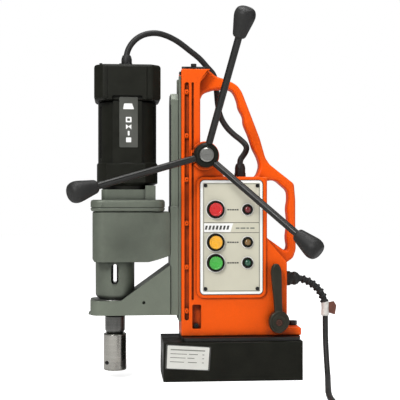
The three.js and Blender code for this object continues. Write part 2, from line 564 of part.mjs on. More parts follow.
function makeMotor() {
  const centre = new THREE.Vector3(MOTOR.x, 0, 0);
  const outer = [
    [0, COVER.step + GAP], [40, COVER.step + GAP], [40, 307], [MOTOR.lower, 310], [MOTOR.lower, MOTOR.step],
    [MOTOR.body, MOTOR.step + 1.5], [MOTOR.body, MOTOR.top], [0, MOTOR.top],
  ];
  const face = [[-188.2, 343], [-142.7, 343], [-142.7, MOTOR.top], [-188.2, MOTOR.top]];
  const panel = frontProfile(face, -47, -30, { bevel: 1 });
  const shell = join(turned(outer, centre, AXIS_Z, 32), panel);
  const bore = rodZ(MOTOR.x, 0, MOTOR.bore, 310, 450, 32);
  put('motor_housing', cut(shell, bore, rodZ(MOTOR.x, 0, 5 + GAP, 290, 320, 16)), 'black_plastic');

  const ring = [[30, 352], [41.5, 352], [41.5, 425], [30, 425]];
  put('field_winding', turned(ring, centre, AXIS_Z), 'copper');

  const { half, depth, bevel } = CAP;
  const x0 = MOTOR.x - half;
  const x1 = MOTOR.x + half;
  const octagon = [
    [x0 + bevel, -depth], [x1 - bevel, -depth], [x1, -depth + bevel], [x1, depth - bevel],
    [x1 - bevel, depth], [x0 + bevel, depth], [x0, depth - bevel], [x0, -depth + bevel],
  ];
  const cap = planProfile(octagon, CAP.bottom, CAP.top, { bevel: 5 });
  const boss = frontProfile([[-188.2, 443], [-143.7, 443], [-143.7, 487], [-188.2, 487]], -52, -40, { bevel: 2 });
  const inside = rodZ(MOTOR.x, 0, 43, CAP.bottom - 1, CAP.top - CAP.wall, 32);
  put('motor_cap', cut(join(cap, boss), inside, rodZ(-166.5, 0, 4, 480, 510, 12)), 'black_plastic');

  const gland = [
    [LEAD + 0.5, CAP.top + GAP], [9.5, CAP.top + GAP], [9.5, 505], [8.6, 506], [8.6, 511], [6.5, 516],
    [LEAD + 0.5, 516],
  ];
  put('motor_gland', turned(gland, new THREE.Vector3(-166.5, 0, 0), AXIS_Z, 16), 'black_plastic');
}

function makeArmature() {
  const centre = new THREE.Vector3(MOTOR.x, 0, 0);
  const towardWheel = Math.atan2(LAYSHAFT.y, LAYSHAFT.x - MOTOR.x);
  const shaft = rodZ(MOTOR.x, 0, 5, MOTOR_TEETH.z[1] - 1, 486, 16);
  put('armature_shaft', join(shaft, gear(MOTOR_TEETH, MOTOR.x, 0, towardWheel)), 'steel');
  const core = [[5 + GAP, 354], [28.5, 354], [28.5, 423], [5 + GAP, 423]];
  put('armature_core', turned(core, centre, AXIS_Z), 'copper');
  const commutator = [[5 + GAP, 430], [14, 430], [14, 452], [5 + GAP, 452]];
  put('commutator', turned(commutator, centre, AXIS_Z, 20), 'copper');
  const fan = [[5 + GAP, 322], [38, 322], [38, 324], [12, 326], [12, 340], [5 + GAP, 340]];
  const disc = turned(fan, centre, AXIS_Z);
  const blades = [];
  for (let i = 0; i < 9; i += 1) {
    const geometry = new THREE.BoxGeometry(26, 2, 14);
    geometry.translate(24, 0, 331);
    geometry.rotateZ((2 * Math.PI * i) / 9);
    geometry.translate(MOTOR.x, 0, 0);
    blades.push(solid(geometry));
  }
  put('cooling_fan', join(disc, ...blades), 'black_plastic');
}

function makeGears() {
  const { x, y } = LAYSHAFT;
  const fromMotor = Math.atan2(-y, MOTOR.x - x) + Math.PI / WHEEL_TEETH.teeth;
  const towardSpindle = Math.atan2(-y, SPINDLE.x - x);
  const shaft = rodZ(x, y, 4.2, 193, 264, 16);
  const gears = [gear(LAY_TEETH, x, y, towardSpindle), gear(WHEEL_TEETH, x, y, fromMotor)];
  put('layshaft_gears', join(shaft, ...gears), 'steel');

  const fromLayshaft = Math.atan2(y, x - SPINDLE.x) + Math.PI / SPINDLE_TEETH.teeth;
  const wheel = gear(SPINDLE_TEETH, SPINDLE.x, 0, fromLayshaft);
  put('spindle_gear', cut(wheel, rodZ(SPINDLE.x, 0, 10 + GAP, 200, 240)), 'steel');

  const profile = [
    [0, 52], [12, 52], [12, 71.3], [13, 71.3], [SPINDLE.collar, 76.3], [SPINDLE.collar, 98.2],
    [SPINDLE.shaft, 99.5], [SPINDLE.shaft, 206], [10, 206], [10, 236], [0, 236],
  ];
  const spindle = turned(profile, new THREE.Vector3(SPINDLE.x, 0, 0), AXIS_Z);
  const drift = block(SPINDLE.x - 2.65, SPINDLE.x + 2.65, -30, 30, SPINDLE.slotZ[0], SPINDLE.slotZ[1]);
  put('spindle', cut(spindle, drift), 'dark_steel');
  const sleeve = [
    [9.5, 12.6], [SPINDLE.sleeve - 1, 12.6], [SPINDLE.sleeve, 13.6], [SPINDLE.sleeve, 70],
    [SPINDLE.sleeve - 1, 71], [12.35, 71], [12.35, 51.6], [9.5, 51.6],
  ];
  const tube = turned(sleeve, new THREE.Vector3(SPINDLE.x, 0, 0), AXIS_Z, 32);
  put('arbor_sleeve', cut(tube, rodY(-197.9, 25.3, 3.2, -30, 0, 12)), 'steel');
}

// ---------------------------------------------------------------- leads
function makeMotorLead() {
  const route = [
    [-166.5, 0, 506], [-166.5, 0, 516], [-162.7, 1, 528.2], [-154.6, 3, 539.8], [-143.3, 7, 548.7],
    [-130.2, 12, 553.7], [-117.1, 17, 555.1], [-102.1, 24, 552.7], [-83.7, 31, 545.1], [-63.5, 37, 531.5],
    [-44.9, 42, 517.6],
    [-33, 44.5, 504.9], [-22.8, 46, 493.6], [-17.7, 46.5, 478.8], [-16.4, 46, 460], [-14.5, 44, 440],
    [-10, 42, 421], [-1, 38.5, 405], [10, 34.5, 393], [20.5, 30, 384], [27.5, 24.5, 376.5],
    [29.5, 17, 370], [27, 9.5, 362.5], [22, 4, 355.5], [18, 0.8, 350], [16.8, 0, 344], [16.8, 0, 337],
    [16.8, 0, 330],
  ];
  put('motor_lead', tubeAlong(route, LEAD, 52, 8), 'rubber');
  const z = 320.8;
  const gland = [
    [LEAD + 0.5, z], [9.1, z], [9.1, 332], [8.4, 333], [8.4, 338], [6.6, 342.8], [LEAD + 0.5, 342.8],
  ];
  put('box_gland', turned(gland, new THREE.Vector3(16.8, 0, 0), AXIS_Z, 16), 'black_plastic');
}

function makeMainsLead() {
  const side = 88.1 + GAP;
  const gland = [
    [0, 62], [6.8, 62], [6.8, side], [11.8, side], [11.8, 99], [10.6, 100], [10.6, 108], [8.6, 111.8], [0, 111.8],
  ];
  put('mains_gland', turned(gland, new THREE.Vector3(0, 0, 156.7), AXIS_X, 20), 'black_plastic');
  const boot = [
    [112.5, 0, 156.7], [115, 0, 156.6], [119.2, 0, 155.3], [128, 0, 152], [135.9, 0, 147], [143, 0, 141.3],
    [147.8, 0, 135.5], [151.8, 0, 129], [154.3, 0, 123.5], [155.2, 0, 120],
  ];
  put('strain_relief', tubeAlong(boot, 6.6, 14, 12), 'rubber');
  const route = [
    [155.5, 0, 118.8], [156, -0.1, 114], [156.6, -0.4, 105], [156.7, -1, 94.7], [156.5, -2.5, 76],
    [156.2, -5, 60], [155.8, -10, 45], [155, -18, 30.5], [153.4, -30, 17], [151, -45, 8.4], [147.8, -62, 5.2],
    [144, -80, 4.7], [133.5, -130, 4.6], [123, -183, 4.6], [117.5, -225, 4.6], [117, -260, 4.6],
    [121, -294, 4.6], [129.2, -322, 4.6],
  ];
  put('mains_cord', tubeAlong(route, CORD, 44, 8), 'rubber');

  const { radius, halfWidth, height } = COIL;
  const ring = roundedRectangle(radius - halfWidth, radius + halfWidth, 0.2, height, 4, 1);
  put('mains_coil', turned(ring, new THREE.Vector3(COIL.x, COIL.y, 0), AXIS_Z, 28), 'rubber');

  const plug = roundedRectangle(-22, 22, 0.2, 29, 6, 2);
  const y = -424;
  const body = sideProfile(plug.map(([u, v]) => [u + y, v]), -42, -6, { bevel: 3 });
  const neck = rodX(y, 13, 7, -12, 12, 12);
  const pins = [[-8, 8], [8, 8], [0, 20]].map(([dy, z]) => rodX(y + dy, z, 2.4, -60, -40, 8));
  put('mains_plug', join(body, neck, ...pins), 'black_plastic');
}

function makeFootBolt() {
  const bolt = [[0, 69], [4, 69], [4, 81.3], [7.3, 81.3], [7.3, 87], [6.3, 88], [0, 88]];
  put('foot_bolt', turned(bolt, new THREE.Vector3(103, 0, 0), AXIS_Z, 6), 'dark_steel');
}

makeMagnet();
makeRatingLabel();
makeSwivel();
makeFrame();
makeTopPlate();
makeGuide();
makePanel();
makeControls();
makeFootBolt();
makeClamp();
makeCapstan();
makeSlide();
makeGearbox();
makeBracket();
makeMotor();
makeArmature();
makeGears();
makeMotorLead();
makeMainsLead();

export default group;
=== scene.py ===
"""Magnetic drill press: details, finishes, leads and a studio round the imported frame.

Sizes are millimetres in the making and metres in the finished meshes.
X runs from the spindle to the rear handle, Z is up and the viewer stands at -Y.
"""
import math

import bmesh
import bpy
from mathutils import Matrix, Vector


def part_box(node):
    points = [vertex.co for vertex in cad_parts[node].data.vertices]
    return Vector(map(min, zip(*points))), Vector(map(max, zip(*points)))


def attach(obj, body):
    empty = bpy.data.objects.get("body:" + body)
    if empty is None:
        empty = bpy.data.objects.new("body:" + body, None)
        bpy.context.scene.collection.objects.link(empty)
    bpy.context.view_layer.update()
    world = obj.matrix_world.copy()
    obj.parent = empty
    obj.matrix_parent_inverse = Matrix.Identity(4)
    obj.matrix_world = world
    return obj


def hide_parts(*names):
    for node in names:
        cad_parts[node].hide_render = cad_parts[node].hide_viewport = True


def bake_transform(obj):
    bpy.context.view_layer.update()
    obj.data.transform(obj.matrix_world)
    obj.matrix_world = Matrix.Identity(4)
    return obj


bl_info = {
    "name": "Magnetic Drill Press",
    "version": (1, 0, 0),
    "blender": (4, 5, 0),
    "location": "3D View > Sidebar > Drill Press",
    "description": "Builds the looks of a magnetic drill press round its packed frame",
    "category": "Object",
}

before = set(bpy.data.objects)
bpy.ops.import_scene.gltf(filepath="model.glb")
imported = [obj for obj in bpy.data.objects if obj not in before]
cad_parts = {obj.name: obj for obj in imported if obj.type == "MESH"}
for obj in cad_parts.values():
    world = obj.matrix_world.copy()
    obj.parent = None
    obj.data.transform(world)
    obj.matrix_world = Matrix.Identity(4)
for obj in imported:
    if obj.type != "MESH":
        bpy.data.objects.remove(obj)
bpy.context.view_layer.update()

MM = 0.001
X_AXIS = Vector((1, 0, 0))
Y_AXIS = Vector((0, 1, 0))
Z_AXIS = Vector((0, 0, 1))


def node_box(node):
    """The lowest and highest corners of a CAD node, in millimetres."""
    low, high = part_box(node)
    return Vector(low) / MM, Vector(high) / MM


def node_centre(node):
    low, high = node_box(node)
    return (low + high) / 2


# ------------------------------------------------------------------ user sizes and colours
def colour_property(name, description, default):
    return bpy.props.FloatVectorProperty(
        name=name, description=description, default=default, subtype="COLOR", size=3, min=0, max=1
    )


class DrillPressFinish(bpy.types.PropertyGroup):
    """Colours of the painted and moulded parts, as linear values."""

    enamel: colour_property("Enamel", "Paint of the frame casting", (0.80, 0.090, 0.001))
    casting: colour_property("Casting", "Bare cast aluminium of the gearbox", (0.118, 0.134, 0.104))
    moulding: colour_property("Moulding", "Black motor mouldings", (0.0065, 0.0068, 0.0045))
    magnet: colour_property("Magnet", "Paint of the magnet housing", (0.0062, 0.0064, 0.0044))
    panel: colour_property("Panel", "Face of the control panel", (0.56, 0.54, 0.43))


class DrillPressSizes(bpy.types.PropertyGroup):
    """Sizes that a user may want to change."""

    mains_length: bpy.props.FloatProperty(
        name="Mains lead", description="Whole length of the mains lead", default=3.0, unit="LENGTH", min=1.0
    )
    mains_diameter: bpy.props.FloatProperty(
        name="Mains diameter", description="Outside diameter of the mains lead", default=0.009, unit="LENGTH"
    )
    motor_lead_diameter: bpy.props.FloatProperty(
        name="Motor lead diameter", description="Outside diameter of the motor lead", default=0.0096,
        unit="LENGTH"
    )
    screw_rows: bpy.props.IntProperty(
        name="Gib screws", description="Number of screws along the gib strip", default=6, min=2
    )


def finishes():
    return bpy.context.scene.drill_press_finish


def sizes():
    return bpy.context.scene.drill_press_sizes


# ------------------------------------------------------------------ shader groups
def node_group(name, inputs, outputs):
    """An empty shader group with named sockets. Returns it with its input and output nodes."""
    tree = bpy.data.node_groups.new(name, "ShaderNodeTree")
    for label, kind, default in inputs:
        socket = tree.interface.new_socket(label, in_out="INPUT", socket_type=kind)
        socket.default_value = default
    for label, kind in outputs:
        tree.interface.new_socket(label, in_out="OUTPUT", socket_type=kind)
    return tree, tree.nodes.new("NodeGroupInput"), tree.nodes.new("NodeGroupOutput")


def noise(tree, vector, scale, detail=4.0, roughness=0.55):
    node = tree.nodes.new("ShaderNodeTexNoise")
    node.inputs["Detail"].default_value = detail
    node.inputs["Roughness"].default_value = roughness
    tree.links.new(vector, node.inputs["Vector"])
    if isinstance(scale, (int, float)):
        node.inputs["Scale"].default_value = scale
    else:
        tree.links.new(scale, node.inputs["Scale"])
    return node.outputs["Fac"]


def ranged(tree, value, low, high, to_low=0.0, to_high=1.0):
    """A value stretched from one range to another, smoothly and clamped."""
    node = tree.nodes.new("ShaderNodeMapRange")
    node.interpolation_type = "SMOOTHSTEP"
    tree.links.new(value, node.inputs["Value"])
    for label, number in (("From Min", low), ("From Max", high), ("To Min", to_low), ("To Max", to_high)):
        if isinstance(number, (int, float)):
            node.inputs[label].default_value = number
        else:
            tree.links.new(number, node.inputs[label])
    return node.outputs["Result"]


def sums(tree, operation, a, b):
    node = tree.nodes.new("ShaderNodeMath")
    node.operation = operation
    for socket, value in zip(node.inputs, (a, b)):
        if isinstance(value, (int, float)):
            socket.default_value = value
        else:
            tree.links.new(value, socket)
    return node.outputs["Value"]


def blend_colours(tree, factor, a, b):
    node = tree.nodes.new("ShaderNodeMix")
    node.data_type = "RGBA"
    tree.links.new(factor, node.inputs["Factor"])
    for label, value in (("A", a), ("B", b)):
        socket = next(s for s in node.inputs if s.name == label and s.type == "RGBA")
        if isinstance(value, tuple):
            socket.default_value = (*value[:3], 1)
        else:
            tree.links.new(value, socket)
    return next(s for s in node.outputs if s.type == "RGBA")


def object_coordinates(tree):
    return tree.nodes.new("ShaderNodeTexCoord").outputs["Object"]


def build_mottle():
    """Two tones in broad soft patches, with a fine speckle over them."""
    tree, inputs, outputs = node_group(
        "Mottle",
        [("Patch scale", "NodeSocketFloat", 22.0), ("Speckle scale", "NodeSocketFloat", 700.0),
         ("First", "NodeSocketColor", (0.5, 0.5, 0.5, 1)), ("Second", "NodeSocketColor", (0.3, 0.3, 0.3, 1))],
        [("Color", "NodeSocketColor"), ("Patch", "NodeSocketFloat")],
    )
    place = object_coordinates(tree)
    patches = ranged(tree, noise(tree, place, inputs.outputs["Patch scale"]), 0.32, 0.68)
    speckle = ranged(tree, noise(tree, place, inputs.outputs["Speckle scale"], 2.0), 0.35, 0.65)
    factor = sums(tree, "ADD", sums(tree, "MULTIPLY", patches, 0.7), sums(tree, "MULTIPLY", speckle, 0.3))
    colour = blend_colours(tree, factor, inputs.outputs["First"], inputs.outputs["Second"])
    tree.links.new(colour, outputs.inputs["Color"])
    tree.links.new(patches, outputs.inputs["Patch"])
    return tree


def build_grain():
    """Height of a fine cast or moulded surface, from two sizes of grain."""
    tree, inputs, outputs = node_group(
        "Grain",
        [("Scale", "NodeSocketFloat", 900.0), ("Coarse share", "NodeSocketFloat", 0.3)],
        [("Height", "NodeSocketFloat")],
    )
    place = object_coordinates(tree)
    fine = noise(tree, place, inputs.outputs["Scale"], 3.0)
    coarse = noise(tree, place, sums(tree, "MULTIPLY", inputs.outputs["Scale"], 0.12), 3.0)
    share = inputs.outputs["Coarse share"]
    height = sums(tree, "ADD", sums(tree, "MULTIPLY", coarse, share), fine)
    tree.links.new(height, outputs.inputs["Height"])
    return tree


def build_edge_wear_and_highlight():
    """A mask that is high on outside edges, for rubbed wear and a painted highlight along them, broken up so
    that it isn't an even line.
    """
    tree, inputs, outputs = node_group(
        "Worn edge",
        [("Start", "NodeSocketFloat", 0.53), ("Break scale", "NodeSocketFloat", 90.0)],
        [("Mask", "NodeSocketFloat")],
    )
    geometry = tree.nodes.new("ShaderNodeNewGeometry")
    end = sums(tree, "ADD", inputs.outputs["Start"], 0.1)
    edge = ranged(tree, geometry.outputs["Pointiness"], inputs.outputs["Start"], end)
    broken = ranged(tree, noise(tree, object_coordinates(tree), inputs.outputs["Break scale"]), 0.4, 0.62)
    tree.links.new(sums(tree, "MULTIPLY", edge, broken), outputs.inputs["Mask"])
    return tree


def build_painted_crevice_shade():
    """A mask of painted shade: high where what stands around closes the surface in, from ambient occlusion
    broken up by noise.
    """
    tree, inputs, outputs = node_group(
        "Crevice",
        [("Reach", "NodeSocketFloat", 0.016), ("Break scale", "NodeSocketFloat", 60.0)],
        [("Mask", "NodeSocketFloat")],
    )
    occlusion = tree.nodes.new("ShaderNodeAmbientOcclusion")
    occlusion.samples = 6
    tree.links.new(inputs.outputs["Reach"], occlusion.inputs["Distance"])
    closed = ranged(tree, occlusion.outputs["AO"], 0.35, 0.92, 1.0, 0.0)
    broken = ranged(tree, noise(tree, object_coordinates(tree), inputs.outputs["Break scale"]), 0.25, 0.7,
                    0.65, 1.0)
    tree.links.new(sums(tree, "MULTIPLY", closed, broken), outputs.inputs["Mask"])
    return tree


def build_turning_marks():
    """Fine lines across one direction, as a lathe or a grinding wheel leaves."""
    tree, inputs, outputs = node_group(
        "Turning marks",
        [("Direction", "NodeSocketVector", (0.02, 0.02, 1.0)), ("Scale", "NodeSocketFloat", 1500.0)],
        [("Height", "NodeSocketFloat"), ("Streak", "NodeSocketFloat")],
    )
    scaled = tree.nodes.new("ShaderNodeVectorMath")
    scaled.operation = "MULTIPLY"
    tree.links.new(object_coordinates(tree), scaled.inputs[0])
    tree.links.new(inputs.outputs["Direction"], scaled.inputs[1])
    lines = noise(tree, scaled.outputs["Vector"], inputs.outputs["Scale"], 2.0)
    streaks = noise(tree, scaled.outputs["Vector"], sums(tree, "MULTIPLY", inputs.outputs["Scale"], 0.2), 2.0)
    tree.links.new(lines, outputs.inputs["Height"])
    tree.links.new(ranged(tree, streaks, 0.35, 0.65), outputs.inputs["Streak"])
    return tree


GROUPS = {}


def shader_group(builder):
    if builder.__name__ not in GROUPS:
        GROUPS[builder.__name__] = builder()
    return GROUPS[builder.__name__]


def place_group(tree, builder, **values):
    node = tree.nodes.new("ShaderNodeGroup")
    node.node_tree = shader_group(builder)
    for label, value in values.items():
        socket = node.inputs[label.replace("_", " ").capitalize()]
        socket.default_value = (*value[:3], 1) if socket.type == "RGBA" else value
    return node


FINISHES = {}


def surface(
    name, first, second, roughness=0.5, metallic=0.0, grain=900.0, bump=0.15, patch=22.0, spread=0.12,
    edge_wear_and_highlight=None, edge_wear_and_highlight_start=0.53, marks=None, marks_scale=1500.0, coat=0.0, specular=0.5, speckle=700.0,
    painted_shade=None, streak=0.45,
):
    """A material with two mottled tones, a fine relief and, where asked for, worn edges with a painted
    highlight, tool marks and painted shade in the crevices.
    """
    if name in FINISHES:
        return FINISHES[name]
    material = bpy.data.materials.new(name)
    material.use_nodes = True
    tree = material.node_tree
    shader = tree.nodes["Principled BSDF"]
    shader.inputs["Metallic"].default_value = metallic
    shader.inputs["Coat Weight"].default_value = coat
    shader.inputs["Coat Roughness"].default_value = 0.12
    shader.inputs["Specular IOR Level"].default_value = specular
    mottle = place_group(tree, build_mottle, patch_scale=patch, speckle_scale=speckle, first=first,
                         second=second)
    colour = mottle.outputs["Color"]
    rough = ranged(tree, mottle.outputs["Patch"], 0.0, 1.0, roughness - spread / 2, roughness + spread / 2)
    # Edge wear and painted highlight: a lighter colour along the outside edges.
    if edge_wear_and_highlight:
        mask = place_group(tree, build_edge_wear_and_highlight, start=edge_wear_and_highlight_start).outputs["Mask"]
        colour = blend_colours(tree, mask, colour, tuple(edge_wear_and_highlight))
    if marks:
        lines = place_group(tree, build_turning_marks, direction=marks, scale=marks_scale)
        height = lines.outputs["Height"]
        tone = ranged(tree, lines.outputs["Streak"], 0.0, 1.0, 0.0, streak)
        colour = blend_colours(tree, tone, colour, tuple(c * 0.5 for c in first))
    else:
        height = place_group(tree, build_grain, scale=grain).outputs["Height"]
    # Painted shade: the colour is darkened towards the shade colour in crevices, recesses and between parts.
    if painted_shade:
        mask = place_group(tree, build_painted_crevice_shade).outputs["Mask"]
        colour = blend_colours(tree, mask, colour, tuple(painted_shade))
    relief = tree.nodes.new("ShaderNodeBump")
    relief.inputs["Strength"].default_value = bump
    relief.inputs["Distance"].default_value = 0.0004
    tree.links.new(height, relief.inputs["Height"])
    tree.links.new(relief.outputs["Normal"], shader.inputs["Normal"])
    tree.links.new(colour, shader.inputs["Base Color"])
    tree.links.new(rough, shader.inputs["Roughness"])
    FINISHES[name] = material
    return material


def shade(colour, factor):
    return tuple(min(1.0, channel * factor) for channel in colour)


def enamel():
    # Painted highlight: the brighter orange along the edges stands for light catching them.
    c = finishes().enamel
    # Painted shade: dark red in the crevices.
    return surface("orange_enamel", c, shade(c, 0.86), 0.42, grain=420, bump=0.10, patch=14, specular=0.16,
                   edge_wear_and_highlight=(1.0, 0.22, 0.03), edge_wear_and_highlight_start=0.56, painted_shade=(0.12, 0.018, 0.003))


def casting():
    c = finishes().casting
    # Painted shade: darker grey in the crevices.
    return surface("cast_aluminium", c, shade(c, 0.80), 0.50, 0.30, grain=1300, bump=0.30, patch=30,
                   painted_shade=(0.030, 0.034, 0.028))


def pale_casting():
    c = shade(finishes().casting, 1.3)
    # Painted shade: darker grey in the crevices.
    return surface("milled_casting", c, shade(c, 0.86), 0.44, 0.35, grain=1200, bump=0.2, patch=26,
                   painted_shade=(0.045, 0.048, 0.040))


def moulding():
    c = finishes().moulding
    # Painted shade: deeper black in the crevices.
    return surface("black_moulding", c, shade(c, 1.5), 0.50, grain=1600, bump=0.22, patch=40, specular=0.13,
                   painted_shade=(0.004, 0.004, 0.004))


def soft_black():
    return surface("black_rubber", (0.010, 0.010, 0.010), (0.017, 0.017, 0.016), 0.55, grain=2200, bump=0.18,
                   specular=0.3)


def black_oxide():
    # The lighter edges are rubbed wear and a painted edge highlight together.
    return surface("black_oxide", (0.012, 0.012, 0.011), (0.022, 0.022, 0.021), 0.36, 0.4, grain=1500,
                   bump=0.10, edge_wear_and_highlight=(0.08, 0.08, 0.075), edge_wear_and_highlight_start=0.57, specular=0.4)


def olive_steel():
    # The lighter edges are rubbed wear and a painted edge highlight together.
    return surface("hardened_steel", (0.020, 0.020, 0.013), (0.032, 0.030, 0.021), 0.42, 0.4, grain=1100,
                   bump=0.22, specular=0.3, edge_wear_and_highlight=(0.12, 0.115, 0.10), edge_wear_and_highlight_start=0.55)


def magnet_paint():
    # The lighter edges paint the highlight along the top front edge, together with rubbed wear.
    c = finishes().magnet
    return surface("magnet_paint", c, shade(c, 1.8), 0.50, 0.1, grain=800, bump=0.35, patch=34, spread=0.2,
                   edge_wear_and_highlight=(0.040, 0.038, 0.030), edge_wear_and_highlight_start=0.55, specular=0.12)


def turned_steel():
    return surface("turned_steel", (0.36, 0.35, 0.32), (0.31, 0.30, 0.275), 0.26, 1.0,
                   marks=(0.02, 0.02, 1.0),
                   bump=0.10, streak=0.16)


def ground_steel():
    return surface("ground_steel", (0.52, 0.53, 0.53), (0.40, 0.41, 0.41), 0.30, 1.0, marks=(1.0, 1.0, 0.03),
                   marks_scale=1200, bump=0.15)


def faced_steel():
    return surface("faced_steel", (0.40, 0.40, 0.38), (0.25, 0.25, 0.235), 0.32, 0.9, grain=1500, bump=0.15)


def copper_winding():
    return surface("copper_winding", (0.48, 0.17, 0.06), (0.32, 0.10, 0.035), 0.36, 0.8,
                   marks=(0.1, 0.1, 1.0),
                   bump=0.6)


def bronze():
    return surface("gib_bronze", (0.52, 0.36, 0.14), (0.40, 0.26, 0.09), 0.35, 0.9, bump=0.12)


def cast_resin():
    return surface("cast_resin", (0.035, 0.040, 0.036), (0.06, 0.065, 0.058), 0.6, bump=0.25)


def circuit_board():
    return surface("circuit_board", (0.02, 0.12, 0.04), (0.015, 0.08, 0.03), 0.45, bump=0.1)


def panel_white():
    return surface("panel_white", (0.84, 0.84, 0.82), (0.78, 0.78, 0.76), 0.40, bump=0.05)


def panel_face():
    c = finishes().panel
    return surface("panel_face", c, shade(c, 0.90), 0.42, grain=2000, bump=0.08, patch=12, speckle=1500)


def label_paper():
    return surface("label_paper", (0.62, 0.62, 0.58), (0.56, 0.56, 0.52), 0.5, bump=0.05)


def print_black():
    return surface("print_black", (0.03, 0.03, 0.028), (0.055, 0.055, 0.05), 0.5, bump=0.05)


def print_grey():
    return surface("print_grey", (0.12, 0.13, 0.11), (0.17, 0.18, 0.15), 0.5, bump=0.05)


def button_plastic(name, colour):
    return surface(name, colour, shade(colour, 0.8), 0.32, grain=2600, bump=0.08, patch=160, coat=0.4)


# ------------------------------------------------------------------ mesh making, in millimetres
def arc(u, v, radius, start, stop, steps=8):
    """Points on a circle between two angles in degrees."""
    angles = (math.radians(start + (stop - start) * i / steps) for i in range(steps + 1))
    return [(u + radius * math.cos(a), v + radius * math.sin(a)) for a in angles]


def rounded_rectangle(u0, u1, v0, v1, radius, steps=8):
    return (
        arc(u1 - radius, v0 + radius, radius, -90, 0, steps) + arc(u1 - radius, v1 - radius, radius, 0, 90,
                                                                   steps)
        + arc(u0 + radius, v1 - radius, radius, 90, 180, steps) + arc(u0 + radius, v0 + radius, radius, 180,
                                                                      270, steps)
    )


def eased(points, radius, steps=5, closed=True):
    """An outline with each corner replaced by a small curve that starts `radius` before it."""
    result = []
    count = len(points)
    for i, point in enumerate(points):
        here = Vector(point)
        if not closed and i in (0, count - 1):
            result.append(tuple(here))
            continue
        before, after = Vector(points[i - 1]), Vector(points[(i + 1) % count])
        reach_in = min(radius, (before - here).length * 0.48)
        reach_out = min(radius, (after - here).length * 0.48)
        start = here + (before - here).normalized() * reach_in
        end = here + (after - here).normalized() * reach_out
        for step in range(steps + 1):
            t = step / steps
            result.append(tuple((1 - t) ** 2 * start + 2 * t * (1 - t) * here + t * t * end))
    return result


def from_mesh(mesh):
    body = bmesh.new()
    body.from_mesh(mesh)
    bpy.data.meshes.remove(mesh)
    return body


def evaluated_mesh(holder):
    bpy.context.view_layer.update()
    depsgraph = bpy.context.evaluated_depsgraph_get()
    return bpy.data.meshes.new_from_object(holder.evaluated_get(depsgraph), depsgraph=depsgraph)


def drop(holder):
    data = holder.data
    bpy.data.objects.remove(holder)
    if isinstance(data, bpy.types.Mesh):
        bpy.data.meshes.remove(data)
    elif isinstance(data, bpy.types.Curve):
        bpy.data.curves.remove(data)


def tidy(body, distance=0.004):
    bmesh.ops.remove_doubles(body, verts=body.verts, dist=distance)
    bmesh.ops.dissolve_degenerate(body, edges=body.edges, dist=distance)
    bmesh.ops.recalc_face_normals(body, faces=body.faces)
    return body


FACINGS = {
    "front": Matrix(((1, 0, 0, 0), (0, 0, -1, 0), (0, 1, 0, 0), (0, 0, 0, 1))),
    "up": Matrix.Identity(4),
    "side": Matrix(((0, 0, 1, 0), (1, 0, 0, 0), (0, 1, 0, 0), (0, 0, 0, 1))),
}


def plate(outline, low, high, holes=(), edge=0.6, facing="front", rounds=3):
    """A flat plate with rounded rims, from low to high along Y for "front", Z for "up" and X for "side"."""
    if facing == "front":
        low, high = -high, -low
    edge = min(edge, (high - low) * 0.49)
    curve = bpy.data.curves.new("outline", "CURVE")
    curve.dimensions = "2D"
    curve.fill_mode = "BOTH"
    curve.extrude = (high - low) / 2 - edge
    curve.bevel_depth = edge
    curve.offset = -edge
    curve.bevel_resolution = rounds
    for loop in (outline, *holes):
        spline = curve.splines.new("POLY")
        spline.points.add(len(loop) - 1)
        spline.points.foreach_set("co", [c for u, v in loop for c in (u, v, 0.0, 1.0)])
        spline.use_cyclic_u = True
    holder = bpy.data.objects.new("outline", curve)
    bpy.context.collection.objects.link(holder)
    body = from_mesh(evaluated_mesh(holder))
    drop(holder)
    bmesh.ops.translate(body, vec=(0, 0, (low + high) / 2), verts=body.verts)
    body.transform(FACINGS[facing])
    return tidy(body)


def turned(profile, origin, axis, segments=64, ease=0.0):
    """A lathe-turned body from (radius, distance along the axis), closed on the axis or on itself."""
    on_axis = profile[0][0] == 0
    points = eased(profile, ease, 3, closed=not on_axis) if ease else list(profile)
    body = bmesh.new()
    rings = []
    for radius, height in points:
        if radius < 1e-6:
            rings.append([body.verts.new((0, 0, height))])
            continue
        ring = [2 * math.pi * i / segments for i in range(segments)]
        rings.append([body.verts.new((radius * math.cos(a), radius * math.sin(a), height)) for a in ring])
    pairs = list(zip(rings, rings[1:]))
    if not on_axis:
        pairs.append((rings[-1], rings[0]))
    for lower, upper in pairs:
        for i in range(segments):
            j = (i + 1) % segments
            if len(lower) == 1 and len(upper) == 1:
                continue
            if len(lower) == 1:
                body.faces.new((lower[0], upper[j], upper[i]))
            elif len(upper) == 1:
                body.faces.new((lower[i], lower[j], upper[0]))
            else:
                body.faces.new((lower[i], lower[j], upper[j], upper[i]))
    turn = Z_AXIS.rotation_difference(Vector(axis).normalized()).to_matrix().to_4x4()
    body.transform(Matrix.Translation(origin) @ turn)
    return tidy(body, 1e-4)


def block(x0, x1, y0, y1, z0, z1, edge=0.0, segments=3):
    body = bmesh.new()
    bmesh.ops.create_cube(body, size=1.0)
    bmesh.ops.scale(body, vec=(x1 - x0, y1 - y0, z1 - z0), verts=body.verts)
    bmesh.ops.translate(body, vec=((x0 + x1) / 2, (y0 + y1) / 2, (z0 + z1) / 2), verts=body.verts)
    if edge:
        bmesh.ops.bevel(body, geom=body.edges[:], offset=edge, segments=segments, profile=0.5, affect="EDGES")
    return body


def together(*bodies):
    """Several closed bodies in one mesh."""
    first, *rest = bodies
    for body in rest:
        mesh = bpy.data.meshes.new("part")
        body.to_mesh(mesh)
        body.free()
        first.from_mesh(mesh)
        bpy.data.meshes.remove(mesh)
    return first


